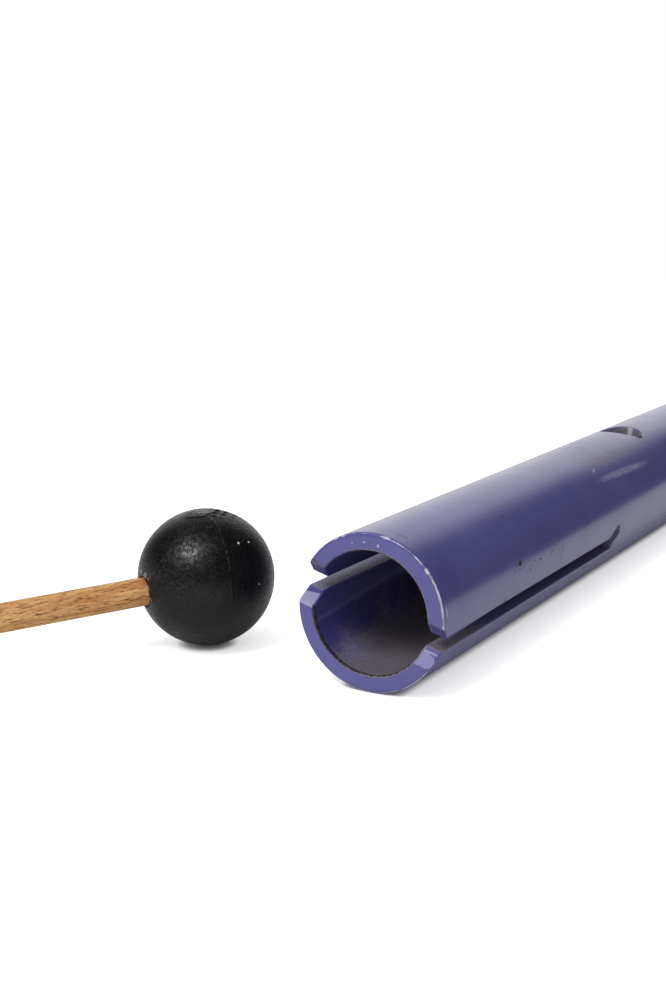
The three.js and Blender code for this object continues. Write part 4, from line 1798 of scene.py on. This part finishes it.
# darker violet for the filed flats that face down: painted shade
UNDERSIDE_PAINTED_SHADE = rgb(72, 66, 126)
PATCH_GREY = rgb(122, 120, 136)
PATCH_PALE = rgb(150, 147, 152)
SCUFF_PALE = rgb(172, 168, 200)
HAIRLINE_PALE = rgb(150, 147, 190)
STOOD_GREY = rgb(128, 124, 146)
CHALK = rgb(176, 170, 208)
CHALK_DARK = rgb(150, 146, 188)
CHALK_RIGHT = rgb(142, 138, 188)
CUT_DARK = rgb(106, 103, 118)
CUT_PALE = rgb(132, 129, 144)
HOLE_HIGHLIGHT_PALE = rgb(206, 205, 212)
RUST_BROWN = rgb(62, 51, 52)
CORNER_DARK = rgb(58, 52, 60)
CORNER_PALE = rgb(112, 106, 132)
WORN_AND_HIGHLIGHT_WHITE = rgb(214, 212, 226)
CHIP_DARK = rgb(40, 38, 44)
DUST_PALE = rgb(190, 188, 205)
TUBE_WEAR = {"patch": rubbed_patch, "scuff": scuff, "hairlines": hairlines, "arcs": arcs,
             "smudges": smudges, "stood_on": stood_on, "glint": painted_hole_highlight, "rust": rust,
             "corner": bare_corner, "rim_wear": rim_wear, "specks": face_specks, "dirt": ring_dirt,
             "chips": chips}


def clean_paint(tree, point):
    """The sprayed violet, a little paler and a little deeper in slow clouds."""
    tone = clouds(tree, point, 26.0)
    paler = mix(tree, ease(tree, tone, 0.0, 1.0), PAINT, PAINT_PALE)
    return mix(tree, ease(tree, tone, 0.0, -1.0), paler, PAINT_DEEP)


def paint_colour(tree, where):
    """The layers from the clean paint up."""
    point = where.point
    chalk = mottled(tree, point, 0.5, CHALK_DARK, CHALK)
    chalk = mix(tree, ease(tree, where.side, -1, 1), chalk, CHALK_RIGHT)
    rust_tone = mix(tree, blots(tree, point, 0.8, 0.5, 0.65), RUST_DARK, RUST_BROWN)
    corner_tone = mix(tree, blots(tree, point, 1.3, 0.42, 0.58, 3.0, 0.7), CORNER_DARK, CORNER_PALE)
    dust = both(tree, specks(tree, point, 2.1, 0.16, 0.07), no(tree, where.bore))
    return layered(tree, clean_paint(tree, point), [
        (where.patch, 0.55, mottled(tree, point, 0.35, PATCH_GREY, PATCH_PALE)),
        (where.scuff, 0.68, SCUFF_PALE),
        (where.hairlines, 0.16, HAIRLINE_PALE),
        (where.arcs, 0.6, CHIP_DARK),
        (where.smudges, 0.75, CHIP_DARK),
        # the filed flats that face down get a darker paint: painted shade
        (where.upper_flats, 1, UNDERSIDE_PAINTED_SHADE),
        (where.stood_on, 0.45, STOOD_GREY),
        (where.lower_flats, 1, chalk),
        (where.slot, 1, slot_colour(tree, where)),
        (where.bore, 1, bore_colour(tree, where)),
        (where.cut, 1, mottled(tree, point, 0.9, CUT_DARK, CUT_PALE)),
        # painted highlight on the thumb hole's far wall
        (where.glint, 0.85, HOLE_HIGHLIGHT_PALE),
        (where.rust, 1, rust_tone),
        (where.corner, 0.85, corner_tone),
        # pale wear on the rims, with painted highlights on their rounding
        (where.pale, 0.92, WORN_AND_HIGHLIGHT_WHITE),
        (where.dirt, 0.8, RUST_DARK),
        (where.chips, 1, CHIP_DARK),
        (dust, 0.35, DUST_PALE),
    ])


# the rim's pale colour, for its wear and its painted highlights
print("worn rim", [round(c, 3) for c in WORN_AND_HIGHLIGHT_WHITE[:3]])

# %% [markdown]
# The same masks give the roughness: glossy paint, duller where it is rubbed, matt where metal or
# rust shows. Sprayed paint is a little dimpled, the far end keeps the fine rings of the lathe,
# and paint has a thickness, so the masks also press the chips in by a hair.

# %% The paint
GLOSSY = 0.2
MATT = 0.62
RUBBED_MATT = 0.35
BORE_MATT = 0.45
FLATS_MATT = 0.8
RINGS_PER_MM = 9.0


def paint_roughness(tree, where):
    """Clouds of two sizes round the gloss, and matt by the larger of all that dulls it."""
    gloss = line(tree, clouds(tree, where.point, 9.0), 0.035, GLOSSY)
    gloss = line(tree, clouds(tree, where.point, 45.0), 0.02, gloss)
    rubs = either(tree, where.patch, where.scuff, where.stood_on, where.hairlines)
    matt = either(tree, times(tree, rubs, RUBBED_MATT), times(tree, where.bore, BORE_MATT),
                  times(tree, where.lower_flats, FLATS_MATT), where.upper_flats, where.slot,
                  where.chips, where.rust, where.dirt, where.corner, where.pale)
    return node(tree, "Mix", {0: matt, 2: gloss, 3: MATT})


def paint_normal(tree, where):
    """The spray's dimples, the lathe's rings on the far end, and what is chipped or eaten away."""
    peel = bump(tree, skin(tree, where.point, 2.2, 0.2), 0.004)
    rings = calc(tree, "SINE", times(tree, where.radius, RINGS_PER_MM))
    turned = bump(tree, both(tree, where.far_face, rings), 0.006, peel)
    lost = either(tree, where.chips, where.rust, where.dirt, where.arcs, where.corner)
    return bump(tree, times(tree, lost, -1.0), 0.06, turned)


def make_paint():
    """The tube's and the disc's material."""
    material, tree, shader = new_material("violet_paint_worn")
    where = add_masks(tree, tube_regions(tree), TUBE_WEAR)
    where.pale = either(tree, where.rim_wear, times(tree, where.specks, SPECK_WEAR))
    tree.links.new(paint_colour(tree, where), shader["Base Color"])
    tree.links.new(paint_roughness(tree, where), shader["Roughness"])
    tree.links.new(paint_normal(tree, where), shader["Normal"])
    shader["IOR"].default_value = 1.5
    return material


paint = make_paint()
for piece in (tube, plug):
    piece.data.materials.append(paint)
print("paint has", len(paint.node_tree.nodes), "nodes")

# %% [markdown]
# The ball's wear has places too. Handling has greyed the nub on top and the ridge between the
# mould's halves, which also holds dark nicks. Curved pale scrapes lie on top, dust sits on it as
# a few white dots, and the side towards the camera is polished in flecks; in the core of the
# lamp's highlight those flecks are painted paler, a painted highlight.

# %% Marks of the ball
RIDGE_NICKS = {"upper": (58.0, 1.4, 0.5), "middle": (15.0, 2.2, 0.45), "lower": (-45.0, 2.6, 0.4)}
NICK_ALONG = 0.3
DUST_DOTS = {"first": (4.8, 40.4, 0.62), "second": (8.3, 41.5, 0.5), "third": (8.8, 1.4, 0.36)}
DOT_FLATNESS = 0.85
SCRAPED_AREA = (2.5, 76, 19.0, 20.0)
POLISHED = (-8.5, 42.8, 21.0, 20.0)
# where the lamp's highlight falls: its flecks get a painted highlight
HIGHLIGHT_CORE = (-8.5, 42.8, 15.0, 14.0)


def on_ball(tree, where, along, turn):
    """Distances in millimetres from a place on the ball: along the stick's axis and round it."""
    return less(tree, where.along, along), arc_from(tree, where.turn, turn, BALL_RADIUS)


def ball_mark(tree, where, place, turn, length, width, **fields):
    """A mark on the ball round a place."""
    along, across = on_ball(tree, where, place, turn)
    return mark(tree, where.point, along, across, length, width, **fields)


def from_ridge(tree, where):
    """The distance from the ridge's middle line, which is skewed by a sine round the ball."""
    sine = calc(tree, "SINE", calc(tree, "RADIANS", where.turn))
    return less(tree, where.along, times(tree, sine, SEAM_SKEW))


def handled(tree, where):
    """Mask of the upper right part of the ridge, where the ball is handled."""
    return ease(tree, where.turn, 5, 35)


def greyed_ridge(tree, where):
    """Mask of the ridge's top, greyed here and there."""
    top = band(tree, where.from_ridge, -0.22, 0.22, 0.12)
    return both(tree, top, blots(tree, where.point, 1.3, 0.5, 0.62), where.handled)


def shaded_ridge(tree, where):
    """Mask of the shade beside the ridge where it isn't greyed."""
    return both(tree, band(tree, where.from_ridge, 0.15, 0.42, 0.14), no(tree, where.handled))


def ridge_nicks(tree, where):
    """Mask of the dark nicks in the ridge: marks that lie round the ball instead of along."""
    masks = []
    for turn, length, width in RIDGE_NICKS.values():
        along, across = on_ball(tree, where, NICK_ALONG, turn)
        masks.append(mark(tree, where.point, across, along, length, width, slant=12, soft=0.3,
                          ragged=0.4, grain=0.8))
    return either(tree, *masks)


def scrapes(tree, where):
    """Mask of the curved scrapes on top: a noise's middle lines, here and there, in one area."""
    area = ball_mark(tree, where, *SCRAPED_AREA, soft=0.5, ragged=0.9, grain=0.5)
    thin = ease(tree, from_lines(tree, where.point, 0.3), 0.014, 0.004)
    return both(tree, area, thin, blots(tree, where.point, 0.55, 0.46, 0.58, 2.0))


def greyed_nub(tree, where):
    """Mask of the nub's flat top."""
    along = less(tree, where.along, NUB_ALONG)
    across = less(tree, where.across, NUB_ACROSS)
    flat = mark(tree, where.point, along, across, 2 * NUB_RADIUS, 2 * NUB_RADIUS, soft=0.15,
                ragged=0.35, grain=0.6)
    return both(tree, flat, ease(tree, where.up, 0.0, 5.0))


def flecks(tree, where):
    """Mask of polished flecks all over the ball."""
    return blots(tree, where.point, 1.15, 0.44, 0.6, 3.0, 0.75)


def polish(tree, where):
    """Mask of the flecks in the polished area, which have a gloss."""
    area = ball_mark(tree, where, *POLISHED, soft=0.9, ragged=0.5, grain=0.2)
    return both(tree, area, where.flecks)


def painted_highlight_flecks(tree, where):
    """Mask of the flecks in the core of the lamp's highlight, painted paler as a painted highlight."""
    area = ball_mark(tree, where, *HIGHLIGHT_CORE, soft=0.9, ragged=0.3, grain=0.2)
    return both(tree, area, where.flecks)


def dust_dots(tree, where):
    """Mask of the white dots of dust, a little longer round the ball than along it."""
    masks = []
    for place, turn, size in DUST_DOTS.values():
        along, across = on_ball(tree, where, place, turn)
        flat = times(tree, across, DOT_FLATNESS)
        masks.append(mark(tree, where.point, along, flat, size, size, soft=0.3, ragged=0.3, grain=2.0))
    return either(tree, *masks)


def haze(tree, where):
    """Mask of the fine dust on the side towards the stick."""
    return both(tree, specks(tree, where.point, 0.85, 0.22, 0.2), ease(tree, where.along, 2.0, -14.0))


def glue(tree, where):
    """Mask of pale dabs round the bore's edge: painted glints where the edge catches the light."""
    edge = band(tree, where.radius, BORE_HOLE_RADIUS, BORE_HOLE_RADIUS + 1.6, 0.3)
    crumbs = blots(tree, where.point, 1.1, 0.56, 0.62, 2.0)
    return both(tree, edge, ease(tree, where.along, -16, -18), crumbs)


print(len(RIDGE_NICKS), "nicks,", len(DUST_DOTS), "dots of dust")

# %% [markdown]
# The rubber is black with a skin like fine leather, so the lamp's highlight breaks into silvery
# flecks. The leather is the skin group with deep, fine dimples, and the polish is a thin clear
# coat that lies only on the flecks. In the highlight's core the flecks are also painted paler, as
# a painted highlight.

# %% The rubber
RUBBER = rgb(13, 13, 15)
RUBBER_GREY = rgb(26, 26, 28)
RUBBER_GRAIN = rgb(32, 32, 33)
# paler grey for the flecks of the painted highlight
HIGHLIGHT_FLECK_GREY = rgb(62, 62, 63)
RUBBER_SCUFF = rgb(98, 97, 98)
RUBBER_SHADE = rgb(4, 4, 5)
SCRAPE_GREY = rgb(78, 77, 78)
NUB_GREY = rgb(92, 92, 93)
NICK_DARK = rgb(8, 8, 10)
HAZE_GREY = rgb(120, 120, 122)
# pale dabs at the bore's edge: painted glints
EDGE_GLINT_PALE = rgb(150, 150, 150)
DUST_WHITE = rgb(225, 225, 225)
BALL_WEAR = {"from_ridge": from_ridge, "handled": handled, "ridge": greyed_ridge, "shade": shaded_ridge,
             "flecks": flecks, "polish": polish, "core": painted_highlight_flecks, "scrapes": scrapes,
             "nub": greyed_nub, "nicks": ridge_nicks, "haze": haze, "glue": glue, "dots": dust_dots}


def rubber_colour(tree, where, grain):
    """The layers from the clean rubber up to the dust."""
    clean = mix(tree, ease(tree, clouds(tree, where.point, 7.0), -0.6, 1.0), RUBBER, RUBBER_GREY)
    return layered(tree, clean, [
        (ease(tree, grain, 0.5, 0.75), 1, RUBBER_GRAIN),
        # paler flecks in the highlight's core: painted highlight
        (where.core, 0.5, HIGHLIGHT_FLECK_GREY),
        (where.ridge, 0.55, RUBBER_SCUFF),
        (where.shade, 0.95, RUBBER_SHADE),
        (where.scrapes, 0.8, SCRAPE_GREY),
        (where.nub, 0.7, NUB_GREY),
        (where.nicks, 1, NICK_DARK),
        (where.haze, 0.5, HAZE_GREY),
        # pale dabs round the bore's edge: painted glints
        (where.glue, 0.8, EDGE_GLINT_PALE),
        (where.dots, 1, DUST_WHITE),
    ])


def make_rubber():
    """The ball's material."""
    material, tree, shader = new_material("black_rubber_worn")
    where = add_masks(tree, group_outputs(tree, mallet_place), BALL_WEAR)
    grain = noise(tree, where.point, 0.9, 4.0, 0.7)
    rougher = {"Value": grain, "From Min": 0.3, "From Max": 0.7, "To Min": 0.2, "To Max": 0.46}
    leather = bump(tree, skin(tree, where.point, 0.7, 0.9), 0.065)
    dents = times(tree, either(tree, where.nicks, where.scrapes), -1.0)
    tree.links.new(rubber_colour(tree, where, grain), shader["Base Color"])
    rough = line(tree, where.polish, -0.06, node(tree, "MapRange", rougher))
    tree.links.new(rough, shader["Roughness"])
    tree.links.new(where.polish, shader["Coat Weight"])
    tree.links.new(bump(tree, dents, 0.12, leather), shader["Normal"])
    shader["IOR"].default_value = 1.42
    shader["Specular IOR Level"].default_value = 0.3
    shader["Coat Roughness"].default_value = 0.3
    return material


rubber = make_rubber()
ball.data.materials.append(rubber)
print("rubber has", len(rubber.node_tree.nodes), "nodes")

# %% [markdown]
# Beech is easy to tell by its flecks: short brown dashes that all run along the grain. The wood
# between them is streaked, from honey to a redder brown. The streaks and the flecks are noise
# that has been stretched along the stick, and the flecks are pressed in, as open pores are. Near
# the ball, hands and glue have left a reddish blot and some grime.

# %% The beech
HONEY = rgb(250, 200, 132)
BEECH_BROWN = rgb(206, 138, 80)
BEECH_RED = rgb(208, 142, 92)
FINE_FLECK = rgb(160, 104, 54)
FLECK = rgb(138, 78, 38)
BLOT_RED = rgb(190, 92, 50)
GRIME = rgb(120, 84, 52)


def stretched(tree, point, length, width, seed):
    """The point, squeezed so that a noise of size 1 comes out long and narrow along the stick."""
    shifted = node(tree, "VectorMath", {0: point, 1: (seed, 0, seed)}, operation="ADD")
    factor = (1 / width, 1 / length, 1 / width)
    return node(tree, "VectorMath", {0: shifted, 1: factor}, operation="MULTIPLY")


def beech_flecks(tree, point):
    """Masks of the flecks: the large ones, and the fine ones between them."""
    large = blots(tree, stretched(tree, point, 3.6, 0.36, 17), 1.0, 0.565, 0.625, 3.0, 0.6)
    fine = blots(tree, stretched(tree, point, 1.6, 0.26, 29), 1.0, 0.52, 0.66, 3.0, 0.6)
    return large, fine


def beech_colour(tree, where, streak, large, fine):
    """Streaked wood, the flecks on it, and the blot and the grime near the ball."""
    point = where.point
    wood = mix(tree, ease(tree, streak, 0.34, 0.66), BEECH_BROWN, HONEY)
    redder = blots(tree, stretched(tree, point, 60, 3.2, 9), 1.0, 0.45, 0.7, 2.0)
    near_ball = ease(tree, where.along, -24, -18)
    blot = both(tree, near_ball, blots(tree, point, 0.35, 0.46, 0.62), ease(tree, where.up, 0.0, 2.5))
    grime = both(tree, near_ball, blots(tree, point, 0.8, 0.52, 0.66))
    return layered(tree, wood, [
        (redder, 0.45, BEECH_RED),
        (fine, 0.6, FINE_FLECK),
        (large, 0.85, FLECK),
        (blot, 0.7, BLOT_RED),
        (grime, 0.35, GRIME),
    ])


def make_beech():
    """The stick's material."""
    material, tree, shader = new_material("beech_worn")
    where = group_outputs(tree, mallet_place)
    streak = noise(tree, stretched(tree, where.point, 30, 1.1, 3), 1.0, 4.0, 0.6)
    large, fine = beech_flecks(tree, where.point)
    smoother = {"Value": streak, "From Min": 0.3, "From Max": 0.7, "To Min": 0.68, "To Max": 0.52}
    pores = times(tree, plus(tree, large, times(tree, fine, 0.4)), -1.0)
    tree.links.new(beech_colour(tree, where, streak, large, fine), shader["Base Color"])
    tree.links.new(node(tree, "MapRange", smoother), shader["Roughness"])
    tree.links.new(bump(tree, line(tree, streak, 0.4, pores), 0.045), shader["Normal"])
    shader["IOR"].default_value = 1.4
    return material


beech = make_beech()
stick.data.materials.append(beech)
print("beech has", len(beech.node_tree.nodes), "nodes")
